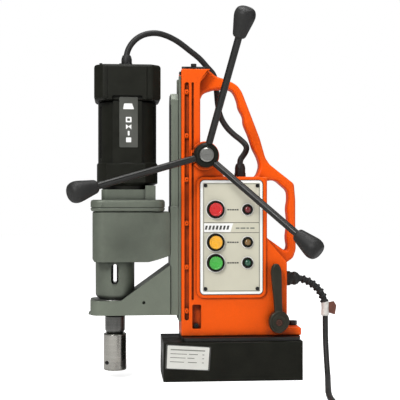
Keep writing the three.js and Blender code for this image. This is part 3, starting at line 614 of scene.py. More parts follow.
def temporary(body):
    mesh = bpy.data.meshes.new("part")
    body.to_mesh(mesh)
    body.free()
    holder = bpy.data.objects.new("part", mesh)
    bpy.context.collection.objects.link(holder)
    return holder


def carved(body, tools, operation="DIFFERENCE"):
    """The body with each tool taken away from it, added to it or kept in common."""
    target = temporary(body)
    holders = [temporary(tool) for tool in tools]
    for holder in holders:
        modifier = target.modifiers.new("carve", "BOOLEAN")
        modifier.operation = operation
        modifier.object = holder
        modifier.solver = "EXACT"
    result = from_mesh(evaluated_mesh(target))
    for holder in (target, *holders):
        drop(holder)
    return tidy(result)


def softened(body, width, angle=40.0, segments=2):
    """The body with its sharp edges rounded off."""
    limit = math.radians(angle)
    edges = [e for e in body.edges if len(e.link_faces) == 2 and e.calc_face_angle(0) > limit]
    bmesh.ops.bevel(
        body, geom=edges, offset=width, segments=segments, profile=0.6, affect="EDGES", clamp_overlap=True
    )
    return tidy(body, 1e-3)


def copied(node, width=0.8, angle=30.0, segments=3):
    """A copy of a CAD node with its doubles merged, its flat faces joined and its edges rounded off."""
    body = bmesh.new()
    body.from_mesh(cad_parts[node].data)
    bmesh.ops.scale(body, vec=(1 / MM,) * 3, verts=body.verts)
    bmesh.ops.remove_doubles(body, verts=body.verts, dist=0.005)
    bmesh.ops.dissolve_limit(body, angle_limit=math.radians(1.0), verts=body.verts, edges=body.edges)
    return softened(body, width, angle, segments) if width else tidy(body)


def piece(name, body, rides_on, material, stands_for=(), smooth=35.0):
    """A finished piece: its mesh goes to metres, its material and its CAD body are set."""
    bmesh.ops.scale(body, vec=(MM,) * 3, verts=body.verts)
    mesh = bpy.data.meshes.new(name)
    body.to_mesh(mesh)
    body.free()
    mesh.polygons.foreach_set("use_smooth", [True] * len(mesh.polygons))
    mesh.set_sharp_from_angle(angle=math.radians(smooth))
    mesh.materials.append(material)
    made = bpy.data.objects.new(name, mesh)
    bpy.context.collection.objects.link(made)
    if rides_on:
        level_flats(made)
    if rides_on:
        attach(made, rides_on)
    if stands_for:
        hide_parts(*stands_for)
    return made


def level_flats(made):
    """Shades the large faces flat and leaves the whole turn of light to the rounded edges between them."""
    modifier = made.modifiers.new("level", "WEIGHTED_NORMAL")
    modifier.weight = 80
    modifier.keep_sharp = True
    level = evaluated_mesh(made)
    made.modifiers.remove(modifier)
    rough = made.data
    made.data = level
    bpy.data.meshes.remove(rough)
    level.name = made.name


def repaint(material, *nodes):
    """Gives CAD nodes that stay in view, or inside, their finish."""
    for node in nodes:
        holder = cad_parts[node]
        if not holder.material_slots:
            holder.data.materials.append(material)
        for slot in holder.material_slots:
            slot.material = material


def socket_head(radius, height, key):
    """A socket head cap screw's head, standing on Z = 0 with its socket upwards."""
    profile = [(0, 0), (radius, 0), (radius, height), (0, height)]
    head = turned(profile, (0, 0, 0), Z_AXIS, 32, ease=0.5)
    socket = turned([(0, height * 0.4), (key, height * 0.4), (key, height + 1), (0, height + 1)], (0, 0, 0),
                    Z_AXIS, 6)
    return carved(head, [socket])


# ------------------------------------------------------------------ geometry node trees
def geometry_tree(name, inputs):
    tree = bpy.data.node_groups.new(name, "GeometryNodeTree")
    tree.interface.new_socket("Geometry", in_out="INPUT", socket_type="NodeSocketGeometry")
    for label, kind in inputs:
        tree.interface.new_socket(label, in_out="INPUT", socket_type=kind)
    tree.interface.new_socket("Geometry", in_out="OUTPUT", socket_type="NodeSocketGeometry")
    return tree, tree.nodes.new("NodeGroupInput"), tree.nodes.new("NodeGroupOutput")


def end_tree(tree, geometry, material, outputs):
    realize = tree.nodes.new("GeometryNodeRealizeInstances")
    painted = tree.nodes.new("GeometryNodeSetMaterial")
    tree.links.new(geometry, realize.inputs["Geometry"])
    tree.links.new(realize.outputs["Geometry"], painted.inputs["Geometry"])
    tree.links.new(material, painted.inputs["Material"])
    tree.links.new(painted.outputs["Geometry"], outputs.inputs["Geometry"])


def screw_tree():
    """Puts one screw at each point, turned a little differently each time."""
    tree, inputs, outputs = geometry_tree(
        "Screws at points",
        [("Screw", "NodeSocketObject"), ("Tilt", "NodeSocketVector"), ("Material", "NodeSocketMaterial")],
    )
    info = tree.nodes.new("GeometryNodeObjectInfo")
    instances = tree.nodes.new("GeometryNodeInstanceOnPoints")
    turn = tree.nodes.new("GeometryNodeRotateInstances")
    chance = tree.nodes.new("FunctionNodeRandomValue")
    chance.data_type = "FLOAT_VECTOR"
    chance.inputs["Min"].default_value = (0, 0, 0)
    chance.inputs["Max"].default_value = (0, 0, 1)
    chance.inputs["Seed"].default_value = 7
    tree.links.new(inputs.outputs["Screw"], info.inputs["Object"])
    tree.links.new(inputs.outputs["Geometry"], instances.inputs["Points"])
    tree.links.new(info.outputs["Geometry"], instances.inputs["Instance"])
    tree.links.new(inputs.outputs["Tilt"], instances.inputs["Rotation"])
    tree.links.new(instances.outputs["Instances"], turn.inputs["Instances"])
    tree.links.new(chance.outputs["Value"], turn.inputs["Rotation"])
    end_tree(tree, turn.outputs["Instances"], inputs.outputs["Material"], outputs)
    return tree


def ribbed_tree():
    """A tube along a curve with evenly spaced rings round it."""
    tree, inputs, outputs = geometry_tree(
        "Ribbed sleeve",
        [("Radius", "NodeSocketFloat"), ("Rib radius", "NodeSocketFloat"),
         ("Rib thickness", "NodeSocketFloat"),
         ("Ribs", "NodeSocketInt"), ("Material", "NodeSocketMaterial")],
    )
    new, link = tree.nodes.new, tree.links.new
    ring = new("GeometryNodeCurvePrimitiveCircle")
    ring.inputs["Resolution"].default_value = 32
    tube = new("GeometryNodeCurveToMesh")
    tube.inputs["Fill Caps"].default_value = True
    link(inputs.outputs["Radius"], ring.inputs["Radius"])
    link(inputs.outputs["Geometry"], tube.inputs["Curve"])
    link(ring.outputs["Curve"], tube.inputs["Profile Curve"])
    points = new("GeometryNodeCurveToPoints")
    link(inputs.outputs["Geometry"], points.inputs["Curve"])
    link(inputs.outputs["Ribs"], points.inputs["Count"])
    rib_path = new("GeometryNodeCurvePrimitiveCircle")
    rib_path.inputs["Resolution"].default_value = 32
    rib_section = new("GeometryNodeCurvePrimitiveCircle")
    rib_section.inputs["Resolution"].default_value = 10
    link(inputs.outputs["Rib radius"], rib_path.inputs["Radius"])
    link(inputs.outputs["Rib thickness"], rib_section.inputs["Radius"])
    rib = new("GeometryNodeCurveToMesh")
    link(rib_path.outputs["Curve"], rib.inputs["Curve"])
    link(rib_section.outputs["Curve"], rib.inputs["Profile Curve"])
    instances = new("GeometryNodeInstanceOnPoints")
    link(points.outputs["Points"], instances.inputs["Points"])
    link(points.outputs["Rotation"], instances.inputs["Rotation"])
    link(rib.outputs["Mesh"], instances.inputs["Instance"])
    joined = new("GeometryNodeJoinGeometry")
    link(instances.outputs["Instances"], joined.inputs["Geometry"])
    link(tube.outputs["Mesh"], joined.inputs["Geometry"])
    end_tree(tree, joined.outputs["Geometry"], inputs.outputs["Material"], outputs)
    return tree


TREES = {}


def grown(builder, holder, values):
    """The plain mesh that a geometry tree makes from the holder, in the units it was given."""
    if builder.__name__ not in TREES:
        TREES[builder.__name__] = builder()
    tree = TREES[builder.__name__]
    modifier = holder.modifiers.new("grow", "NODES")
    modifier.node_group = tree
    for item in tree.interface.items_tree:
        if item.in_out == "INPUT" and item.name in values:
            modifier[item.identifier] = values[item.name]
    mesh = evaluated_mesh(holder)
    holder.modifiers.remove(modifier)
    return mesh


def screws(name, places, head, tilt, rides_on, material):
    """A row of equal screws as one piece. The head stands on Z = 0 before it is tilted."""
    cloud = bmesh.new()
    for place in places:
        cloud.verts.new(place)
    holder = temporary(cloud)
    pattern = temporary(head)
    body = from_mesh(grown(screw_tree, holder, {"Screw": pattern, "Tilt": tilt, "Material": material}))
    drop(holder)
    drop(pattern)
    return piece(name, tidy(body, 1e-3), rides_on, material)


def smooth_path(points, per_span=6):
    """Points on a smooth curve through the given ones (centripetal Catmull-Rom)."""
    knots = [Vector(p) for p in points]
    knots = [2 * knots[0] - knots[1], *knots, 2 * knots[-1] - knots[-2]]
    path = []
    for i in range(1, len(knots) - 2):
        p0, p1, p2, p3 = knots[i - 1:i + 3]
        t1 = (p1 - p0).length ** 0.5
        t2 = t1 + (p2 - p1).length ** 0.5
        t3 = t2 + (p3 - p2).length ** 0.5
        for step in range(per_span):
            t = t1 + (t2 - t1) * step / per_span
            a1 = p0 * (t1 - t) / t1 + p1 * t / t1
            a2 = p1 * (t2 - t) / (t2 - t1) + p2 * (t - t1) / (t2 - t1)
            a3 = p2 * (t3 - t) / (t3 - t2) + p3 * (t - t2) / (t3 - t2)
            b1 = a1 * (t2 - t) / t2 + a2 * t / t2
            b2 = a2 * (t3 - t) / (t3 - t1) + a3 * (t - t1) / (t3 - t1)
            path.append(b1 * (t2 - t) / (t2 - t1) + b2 * (t - t1) / (t2 - t1))
    path.append(knots[-2])
    return path


def tube(path, radius, sides=16):
    """A closed round tube along a path, without twist."""
    body = bmesh.new()
    last = len(path) - 1
    tangents = [(path[min(i + 1, last)] - path[max(i - 1, 0)]).normalized() for i in range(last + 1)]
    across = tangents[0].orthogonal().normalized()
    rings = []
    for point, tangent in zip(path, tangents):
        across = (across - tangent * across.dot(tangent)).normalized()
        other = tangent.cross(across)
        angles = (2 * math.pi * i / sides for i in range(sides))
        offsets = [math.cos(a) * across + math.sin(a) * other for a in angles]
        rings.append([body.verts.new(point + radius * offset) for offset in offsets])
    for lower, upper in zip(rings, rings[1:]):
        for i in range(sides):
            j = (i + 1) % sides
            body.faces.new((lower[i], lower[j], upper[j], upper[i]))
    body.faces.new(reversed(rings[0]))
    body.faces.new(rings[-1])
    bmesh.ops.recalc_face_normals(body, faces=body.faces)
    return body


# ------------------------------------------------------------------ operators
class DRILLPRESS_OT_magnet(bpy.types.Operator):
    """Magnet housing with its winding, its swivel plate and its rating label"""

    bl_idname = "drill_press.magnet"
    bl_label = "Magnet Base"

    def execute(self, context):
        piece("magnet_block", copied("magnet_housing", 1.0, 25, 2), "magnet_base", magnet_paint(),
              ["magnet_housing"])
        piece("swivel_plate_body", copied("swivel_plate", 0.6, 40, 2), "magnet_base", black_oxide(),
              ["swivel_plate"])
        repaint(copper_winding(), "magnet_coil")
        repaint(cast_resin(), "magnet_potting")
        repaint(ground_steel(), "pivot_pin")
        self.label()
        return {"FINISHED"}

    def label(self):
        face = node_box("rating_label")[1].y
        corners = [(-107.5, 21), (-38, 17.2), (-35.4, 54.9), (-105.8, 59.6)]
        piece("rating_label_border", plate(eased(corners, 2), face - 0.35, face, edge=0.1), "magnet_base",
              print_black(), ["rating_label"])
        middle = sum((Vector(c) for c in corners), Vector((0, 0))) / 4
        inner = [tuple(middle + (Vector(c) - middle) * 0.93) for c in corners]
        piece("rating_label_face", plate(eased(inner, 1.5), face - 0.5, face - 0.3, edge=0.05), "magnet_base",
              label_paper())
        along = (Vector(corners[1]) - Vector(corners[0])).normalized()
        up = Vector((-along.y, along.x))
        start = Vector(corners[0]) + along * 7 + up * 5
        bars = []
        rows = [(25, [(0, 54, 1.7)]), (19, [(0, 26, 1.1), (29, 43, 1.3), (50, 53, 1.3)]),
                (13, [(0, 24, 1.1), (27, 38, 1.3), (50, 53, 1.3)]),
                (6.5, [(0, 22, 1.1), (28, 42, 1.3), (50, 53, 1.3)])]
        for height, spans in rows:
            for begin, end, thick in spans:
                base = start + up * height
                bar = [base + along * begin, base + along * end, base + along * end + up * thick,
                       base + along * begin + up * thick]
                bars.append(plate([tuple(p) for p in bar], face - 0.56, face - 0.44, edge=0.02))
        piece("rating_label_rows", together(*bars), "magnet_base", print_grey())


class DRILLPRESS_OT_frame(bpy.types.Operator):
    """Frame casting with its two handles, way plate, gib and fixings"""

    bl_idname = "drill_press.frame"
    bl_label = "Frame Casting"

    OUTLINE = [
        (-80.8, 68.3), (111, 68.3), (111, 81), (92.5, 81), (88.1, 107.4), (88.1, 180.9), (101.9, 190.6),
        (106.3, 204.1), (105.5, 243.7), (105.5, 284.3), (103.2, 310.3), (63.7, 341.2), (56.4, 352.4),
        (47.4, 383.7), (20.2, 453.7), (17.6, 459.4), (11.2, 468.1), (2.3, 473.5), (-12.2, 479.2),
        (-23.8, 482.7), (-34.3, 491.5), (-80.8, 491.5),
    ]
    UPPER_OPENING = [
        (-12, 320.5), (41.2, 320.5), (47.8, 338.1), (44.1, 352.5), (36.7, 365.6), (29.3, 388.9),
        (21.2, 406.5), (21.2, 418.3), (13.1, 431.3), (11.6, 442.8), (5.5, 457.4), (-1.5, 462.6),
        (-25, 462.4), (-44, 456), (-50.6, 441.5), (-50.6, 372), (-27, 340),
    ]
    REAR_OPENING = [
        (53.8, 314.4), (55.5, 268), (56.8, 224.6), (89.3, 201.4), (93.1, 207.6), (90.6, 222.8),
        (93.8, 247.9), (91.3, 270.6), (93.8, 284), (93.1, 298.8), (72.9, 316.3),
    ]
    THICK = [
        (-80.8, 68.3), (111, 68.3), (111, 81), (92.5, 81), (88, 90), (88, 185), (56, 222), (56, 320.5),
        (-12, 320.5), (-27, 340), (-50.6, 372), (-50.6, 470), (-34.3, 491.5), (-80.8, 491.5),
    ]

    GIB_ROWS = (454.7, 108.9)
    GIB_X = -72.2

    def execute(self, context):
        self.casting()
        self.fixings()
        piece("way_strips", copied("way_plate", 0.4, 40, 2), "frame", pale_casting(), ["way_plate"])
        repaint(bronze(), "gib_strip")
        return {"FINISHED"}

    def casting(self):
        hub = node_centre("pinion_shaft")
        panel_low, panel_high = node_box("control_panel")
        tie = node_centre("clamp_shaft")
        gland = node_centre("mains_gland")
        box_gland = node_centre("box_gland")
        handles = plate(eased(self.OUTLINE, 4), -15, 15, edge=5, rounds=4,
                        holes=[eased(self.UPPER_OPENING, 7, 6), eased(self.REAR_OPENING, 6, 6)])
        thick = plate(eased(self.THICK, 3), -35, 35, edge=2.4)
        boss = turned([(0, -50), (22.4, -50), (22.4, 40), (0, 40)], (hub.x, 0, hub.z), Y_AXIS, 64, ease=1.5)
        rim_outline = rounded_rectangle(panel_low.x - 5.3, panel_high.x + 5.6,
                                        panel_low.z - 5.6, panel_high.z + 5.3, 12)
        rim = plate(rim_outline, -39.4, -30, edge=1.6)
        body = carved(handles, [thick, boss, rim], "UNION")
        seat = rounded_rectangle(panel_low.x - 0.4, panel_high.x + 0.4,
                                 panel_low.z - 0.4, panel_high.z + 0.4, 7)
        tools = [
            plate(seat, -50, -37.2, edge=0.01, rounds=1),
            block(-49, 46, -50, 25, 138, 312),
            plate([(-82, -19.9), (-66.8, -26.8), (-66.8, 22.4), (-82, 15.1)], 92, 520, edge=0.01, facing="up",
                  rounds=1),
            block(-68, -55.9, -8.7, 8.7, 186, 520),
            block(-90, hub.x, -9, 9, hub.z - 17.5, hub.z + 17.5),
            turned([(0, -9), (17.5, -9), (17.5, 60), (0, 60)], (hub.x, 0, hub.z), Y_AXIS),
            turned([(0, -60), (8.8, -60), (8.8, 0), (0, 0)], (hub.x, 0, hub.z), Y_AXIS),
            plate(rounded_rectangle(-63.4, -49.3, 80.4, 118.9, 2.5), -50, -24, edge=0.01, rounds=1),
            plate(rounded_rectangle(-75.8, -68.6, 94, 470, 3.5), -50, -29, edge=0.01, rounds=1),
            plate(rounded_rectangle(-64.6, -60.9, 126, 470, 1.8), -50, -30.5, edge=0.01, rounds=1),
            plate(eased([(-75.8, 465.5), (-50, 465.5), (-38, 463), (-29.5, 470), (-33, 477.5),
                         (-75.8, 477.5)], 2), -50, -28,
                  edge=0.01, rounds=1),
            block(tie.x - 13, tie.x + 13, -9, 9, 60, 106),
            turned([(0, -50), (7.3, -50), (7.3, 31), (0, 31)], (tie.x, 0, tie.z), Y_AXIS, 32),
            turned([(0, 60), (8.3, 60), (8.3, 82), (0, 82)], (-56, 0, 0), Z_AXIS, 32),
            turned([(0, 40), (7.3, 40), (7.3, 120), (0, 120)], (0, 0, gland.z), X_AXIS, 32),
            turned([(0, 300), (7.3, 300), (7.3, 330), (0, 330)], (box_gland.x, 0, 0), Z_AXIS, 32),
            turned([(0, 480), (2.9, 480), (2.9, 500), (0, 500)], (-61, -31, 0), Z_AXIS, 24),
            turned([(0, 60), (4.3, 60), (4.3, 90), (0, 90)], (103, 0, 0), Z_AXIS, 24),
        ]
        body = carved(body, tools)
        seat_profile = [(0, -34.4), (3.9, -34.4), (4.3, -34), (4.3, -29.5), (0, -29.5)]
        rows = [self.gib_height(i) for i in range(sizes().screw_rows)]
        seats = [turned(seat_profile, (self.GIB_X, 0, z), Y_AXIS, 32) for z in rows]
        body = carved(body, seats, "UNION")
        piece("frame_body", body, "frame", enamel(), ["frame_casting"], smooth=32)

    def gib_height(self, row):
        high, low = self.GIB_ROWS
        return high - row * (high - low) / (sizes().screw_rows - 1)

    def fixings(self):
        low, high = node_box("top_plate")
        outline = [(-80, -34), (-38, -34), (-38, 34), (-80, 34), (-80, 28), (-53, 28), (-53, -28), (-80, -28)]
        hole = arc(-61, -31, 2.8, 0, 345, 16)
        piece("top_plate_cover", plate(outline, low.z, high.z, holes=[hole], edge=0.5, facing="up"), "frame",
              black_oxide(), ["top_plate"])
        head = together(
            socket_head(4.5, 4.4, 2.0),
            turned([(0, -12.8), (2.4, -12.8), (2.4, 0), (0, 0)], (0, 0, 0), Z_AXIS, 24)
        )
        bmesh.ops.translate(head, vec=(-61, -31, high.z + 0.2), verts=head.verts)
        piece("top_plate_cap_screw", head, "frame", black_oxide(), ["top_plate_screw"])
        bolt_low, bolt_high = node_box("foot_bolt")
        bolt = turned([(0, 81.2), (7.2, 81.2), (7.2, bolt_high.z), (0, bolt_high.z)], (103, 0, 0), Z_AXIS, 6,
                      ease=0.8)
        shank = turned([(0, bolt_low.z), (4, bolt_low.z), (4, 81.4), (0, 81.4)], (103, 0, 0), Z_AXIS, 32,
                       ease=0.4)
        piece("foot_hex_bolt", together(bolt, shank), "frame", black_oxide(), ["foot_bolt"])
        places = [(self.GIB_X, -34.0, self.gib_height(i)) for i in range(sizes().screw_rows)]
        tilt = (math.radians(90), 0, 0)
        screws("gib_screws", places, socket_head(2.9, 2.6, 1.3), tilt, "frame", enamel())
        screws("pocket_screw", [(-56.4, -24, 84.6)], socket_head(3.9, 4.6, 2.0), tilt, "frame", black_oxide())


class DRILLPRESS_OT_panel(bpy.types.Operator):
    """Control panel with its printing, screws, push buttons and pilot lights"""

    bl_idname = "drill_press.panel"
    bl_label = "Control Panel"

    CONTROLS = (
        ("motor", "red_plastic", (0.62, 0.020, 0.022), (0.16, 0.012, 0.014)),
        ("magnet", "yellow_plastic", (0.86, 0.42, 0.025), (0.20, 0.11, 0.03)),
        ("feed", "green_plastic", (0.055, 0.42, 0.055), (0.010, 0.085, 0.045)),
    )

    def execute(self, context):
        low, high = node_box("control_panel")
        self.face(low, high)
        self.printing(low, high)
        for name, slot, cap, lens in self.CONTROLS:
            self.control(name, slot, cap, lens)
        repaint(circuit_board(), "control_board")
        return {"FINISHED"}

    def face(self, low, high):
        holes = []
        for name, *_ in self.CONTROLS:
            button, lamp = node_centre(f"{name}_button_body"), node_centre(f"{name}_pilot_light")
            holes.append(arc(button.x, button.z, 10.8, 0, 352, 44))
            holes.append(arc(lamp.x, lamp.z, 6.3, 0, 350, 35))
        rim = rounded_rectangle(low.x, high.x, low.z, high.z, 7)
        # Painted highlight: the white plate shows as a white rim round the cream field, standing for light
        # along the panel's edge.
        piece("panel_plate", plate(rim, low.y + 0.15, high.y, holes=holes, edge=0.5), "frame", panel_white(),
              ["control_panel"])
        around = rounded_rectangle(low.x - 0.35, high.x + 0.35, low.z - 0.35, high.z + 0.35, 7.2)
        within = rounded_rectangle(low.x + 0.8, high.x - 0.8, low.z + 0.8, high.z - 0.8, 6.2)
        piece("panel_gasket", plate(around, low.y + 0.1, low.y + 0.5, holes=[within], edge=0.1), "frame",
              soft_black())
        inset = rounded_rectangle(low.x + 4.6, high.x - 4.6, low.z + 4.6, high.z - 4.6, 2.5)
        piece("panel_field", plate(inset, low.y, low.y + 0.2, holes=holes, edge=0.05), "frame", panel_face())
        corners = [(x, low.y + 0.05, z) for x in (-43, 39.4) for z in (306.7, 144)]
        screws("panel_screws", corners, socket_head(3.0, 1.7, 1.5), (math.radians(90), 0, 0), "frame",
               black_oxide())

    def printing(self, low, high):
        face = low.y
        black, grey = [], []

        def bar(store, x0, x1, z0, z1):
            store.append(plate([(x0, z0), (x1, z0), (x1, z1), (x0, z1)], face - 0.07, face + 0.03, edge=0.02))

        left, right = low.x + 5.4, high.x - 5.4
        bottom, top = low.z + 5.4, high.z - 5.4
        bar(grey, left, left + 1.1, bottom, top)
        bar(grey, right - 1.1, right, bottom, top)
        bar(grey, left, right, bottom, bottom + 1.1)
        bar(grey, left, right, top - 1.1, top)
        bar(black, left, right, 247.8, 248.7)
        bar(black, left, right, 231.9, 232.8)
        for z in (268.6, 217.2, 184.8):
            for start, width in ((-8.5, 3.6), (-4.2, 2.6), (-0.9, 3.4), (3.2, 2.4), (6.3, 3.2)):
                bar(black, start, start + width, z - 1.1, z + 1.1)
        for start, width in ((5, 6), (12.5, 8), (22, 4), (28, 7)):
            bar(grey, start, start + width, 238.4, 240.6)
        white = [plate([(left + 0.6, 233.4), (-3.4, 233.4), (1.0, 247.2), (left + 0.6, 247.2)], face - 0.06,
                       face + 0.03,
                       edge=0.02)]
        for i in range(7):
            x = -44.2 + 5.7 * i
            slant = [(x, 237.2), (x + 3.4, 237.2), (x + 5.0, 243.6), (x + 1.6, 243.6)]
            black.append(plate(slant, face - 0.12, face - 0.02, edge=0.02))
        piece("panel_lines", together(*grey), "frame", print_grey())
        piece("panel_marks", together(*black), "frame", print_black())
        # Painted highlight: thin white rings round each bezel and lamp collar; the white field above is
        # print.
        for name, *_ in self.CONTROLS:
            for node, inner, outer in ((f"{name}_button_body", 14.2, 15.4),
                                       (f"{name}_pilot_light", 8.7, 9.7)):
                centre = node_centre(node)
                ring = [(inner, face - 0.06), (outer, face - 0.06), (outer, face + 0.03),
                        (inner, face + 0.03)]
                white.append(turned(ring, (centre.x, 0, centre.z), Y_AXIS, 64))
        piece("panel_band", together(*white), "frame", panel_white())

    def control(self, name, slot, cap_colour, lens_colour):
        body_low, body_high = node_box(f"{name}_button_body")
        centre = node_centre(f"{name}_button_body")
        seat = -40.25
        bezel = [
            (10.8, body_low.y), (12.6, body_low.y), (14, body_low.y + 1.6), (14, seat), (10.5, seat),
            (10.5, body_high.y),
            (5.4, body_high.y), (5.4, seat - 0.6), (10.8, seat - 0.6),
        ]
        origin = (centre.x, 0, centre.z)
        piece(f"{name}_bezel", turned(bezel, origin, Y_AXIS, 64, ease=0.4), "frame", moulding(),
              [f"{name}_button_body"])
        cap_low, cap_high = node_box(f"{name}_button_cap")
        front = cap_low.y
        back = -44.6
        cap = [
            (0, front + 1.4), (7.4, front + 1.2), (8.4, front + 0.1), (9.6, front + 0.1),
            (10.35, front + 1.2), (10.35, back),
            (5, back), (5, cap_high.y), (0, cap_high.y),
        ]
        piece(f"{name}_cap", turned(cap, origin, Y_AXIS, 64, ease=0.35), f"{name}_button",
              button_plastic(f"{name}_cap_plastic", cap_colour), [f"{name}_button_cap"])
        lamp_low, lamp_high = node_box(f"{name}_pilot_light")
        lamp = node_centre(f"{name}_pilot_light")
        place = (lamp.x, 0, lamp.z)
        collar = [
            (5.4, lamp_low.y + 1.0), (7.4, lamp_low.y + 1.2), (8.5, lamp_low.y + 2.6), (8.5, seat), (6, seat),
            (6, lamp_high.y), (0.5, lamp_high.y), (0.5, lamp_low.y + 3.5), (5.4, lamp_low.y + 3.5),
        ]
        piece(f"{name}_lamp_collar", turned(collar, place, Y_AXIS, 48, ease=0.3), "frame", moulding(),
              [f"{name}_pilot_light"])
        glass = [(0, lamp_low.y), (2.2, lamp_low.y + 0.2), (4.2, lamp_low.y + 1.1), (5.2, lamp_low.y + 2.4),
                 (5.2, lamp_low.y + 3.3), (0, lamp_low.y + 3.3)]
        piece(f"{name}_lamp_lens", turned(glass, place, Y_AXIS, 48, ease=0.4), "frame",
              button_plastic(f"{name}_lens_plastic", lens_colour))


class DRILLPRESS_OT_clamp(bpy.types.Operator):
    """Lever that clamps the swivel base, with its shaft and tie bolt"""

    bl_idname = "drill_press.clamp"
    bl_label = "Clamp Lever"

    def execute(self, context):
        centre = node_centre("clamp_shaft")
        bar = [(65.6, 96), (79.5, 96), (77.2, 113.8), (76.2, 173.7), (72.6, 182.6), (67.5, 184),
               (62.4, 182.6),
               (59.1, 173.7), (64.7, 113.8)]
        handle = plate(eased(bar, 5, 6), -54.6, -44.4, edge=3.4, rounds=5)
        head = [(88.2, 86), (88.6, 99), (81.5, 108), (68, 110.4), (57.4, 102), (55.6, 88), (62, 76.5),
                (75, 73.4)]
        plate_head = plate(eased(head, 7, 6), -56.4, -41.4, edge=2.6, rounds=4)
        boss = turned([(0, -57.4), (11.5, -57.4), (12.5, -54), (12.5, -50), (0, -50)],
                      (centre.x, 0, centre.z), Y_AXIS,
                      48, ease=1.0)
        body = carved(handle, [plate_head, boss], "UNION")
        bore = turned([(0, -70), (6.3, -70), (6.3, -30), (0, -30)], (centre.x, 0, centre.z), Y_AXIS, 6)
        piece("clamp_handle", carved(body, [bore]), "clamp", olive_steel(), ["clamp_lever"])
        rust = surface("worn_socket", (0.085, 0.028, 0.016), (0.045, 0.022, 0.016), 0.5, 0.5, grain=1400,
                       bump=0.3)
        shaft = [(0, -55.4), (2.5, -55.4), (2.5, -57), (5.2, -57), (5.6, -56), (5.6, -44), (7, -44), (7, 30),
                 (0, 30)]
        piece("clamp_shaft_body", turned(shaft, (centre.x, 0, centre.z), Y_AXIS, 48, ease=0.3), "clamp", rust,
              ["clamp_shaft"])
        repaint(ground_steel(), "tie_bolt")
        return {"FINISHED"}


class DRILLPRESS_OT_capstan(bpy.types.Operator):
    """Three-arm feed handle with its hub, grips and pinion shaft"""

    bl_idname = "drill_press.capstan"
    bl_label = "Feed Capstan"

    SPLAY = math.radians(28)
    FIRST_ARM = 76.6
    MEETING_Y = -62
    ARM_END = 243
    GRIP_LENGTH = 46

    def execute(self, context):
        shaft = node_centre("pinion_shaft")
        meeting = Vector((shaft.x, self.MEETING_Y, shaft.z))
        hub = turned([(0, -79), (15, -79), (19, -75.5), (19, -54), (16.5, -51), (0, -51)],
                     (shaft.x, 0, shaft.z), Y_AXIS,
                     64, ease=1.2)
        tools = [turned([(0, -60), (8.7, -60), (8.7, -40), (0, -40)], (shaft.x, 0, shaft.z), Y_AXIS, 32)]
        for i in range(3):
            angle = math.radians(self.FIRST_ARM + 120 * i)
            flat = Vector((math.cos(angle), 0, math.sin(angle)))
            along = flat * math.cos(self.SPLAY) - Y_AXIS * math.sin(self.SPLAY)
            self.arm(i + 1, meeting, along)
            tools.append(turned([(0, 11.5), (5.6, 11.5), (5.6, 60), (0, 60)], meeting, along, 32))
        piece("hub_body", carved(hub, tools), "capstan", moulding(), ["feed_hub"])
        nut = turned([(0, -83.2), (8.6, -83.5), (11, -81.6), (11, -79.2), (0, -79.2)], (shaft.x, 0, shaft.z),
                     Y_AXIS, 64,
                     ease=0.6)
        slot = block(shaft.x - 7, shaft.x + 7, -90, -82.4, shaft.z - 0.8, shaft.z + 0.8)
        ring = turned([(8.2, -90), (8.9, -90), (8.9, -82.9), (8.2, -82.9)], (shaft.x, 0, shaft.z), Y_AXIS, 64)
        piece("hub_cap", carved(nut, [slot, ring]), "capstan", faced_steel(), ["hub_nut"])
        repaint(ground_steel(), "pinion_shaft")
        return {"FINISHED"}

    def arm(self, number, meeting, along):
        end = self.ARM_END
        start = end - self.GRIP_LENGTH
        rod = turned([(0, 12), (5.4, 12), (5.4, start + 20), (0, start + 20)], meeting, along, 32, ease=0.6)
        piece(f"arm_{number}_rod", rod, "capstan", black_oxide(), [f"feed_arm_{number}"])
        profile = [
            (0, end - 1.2), (6.4, end - 0.7), (7.2, end - 1.4), (8.0, end - 0.9), (10.4, end - 1.4),
            (13.4, end - 3.6),
            (15.3, end - 7.6), (16, end - 12), (15.7, end - 16), (14.6, end - 22), (12.9, end - 30),
            (11.2, end - 38),
            (10.4, end - 42), (9.8, start + 2), (8.6, start + 0.2), (5.7, start), (5.7, start + 21),
            (0, start + 21),
        ]
        piece(f"arm_{number}_grip", turned(profile, meeting, along, 64, ease=1.0), "capstan", soft_black(),
              [f"feed_grip_{number}"])


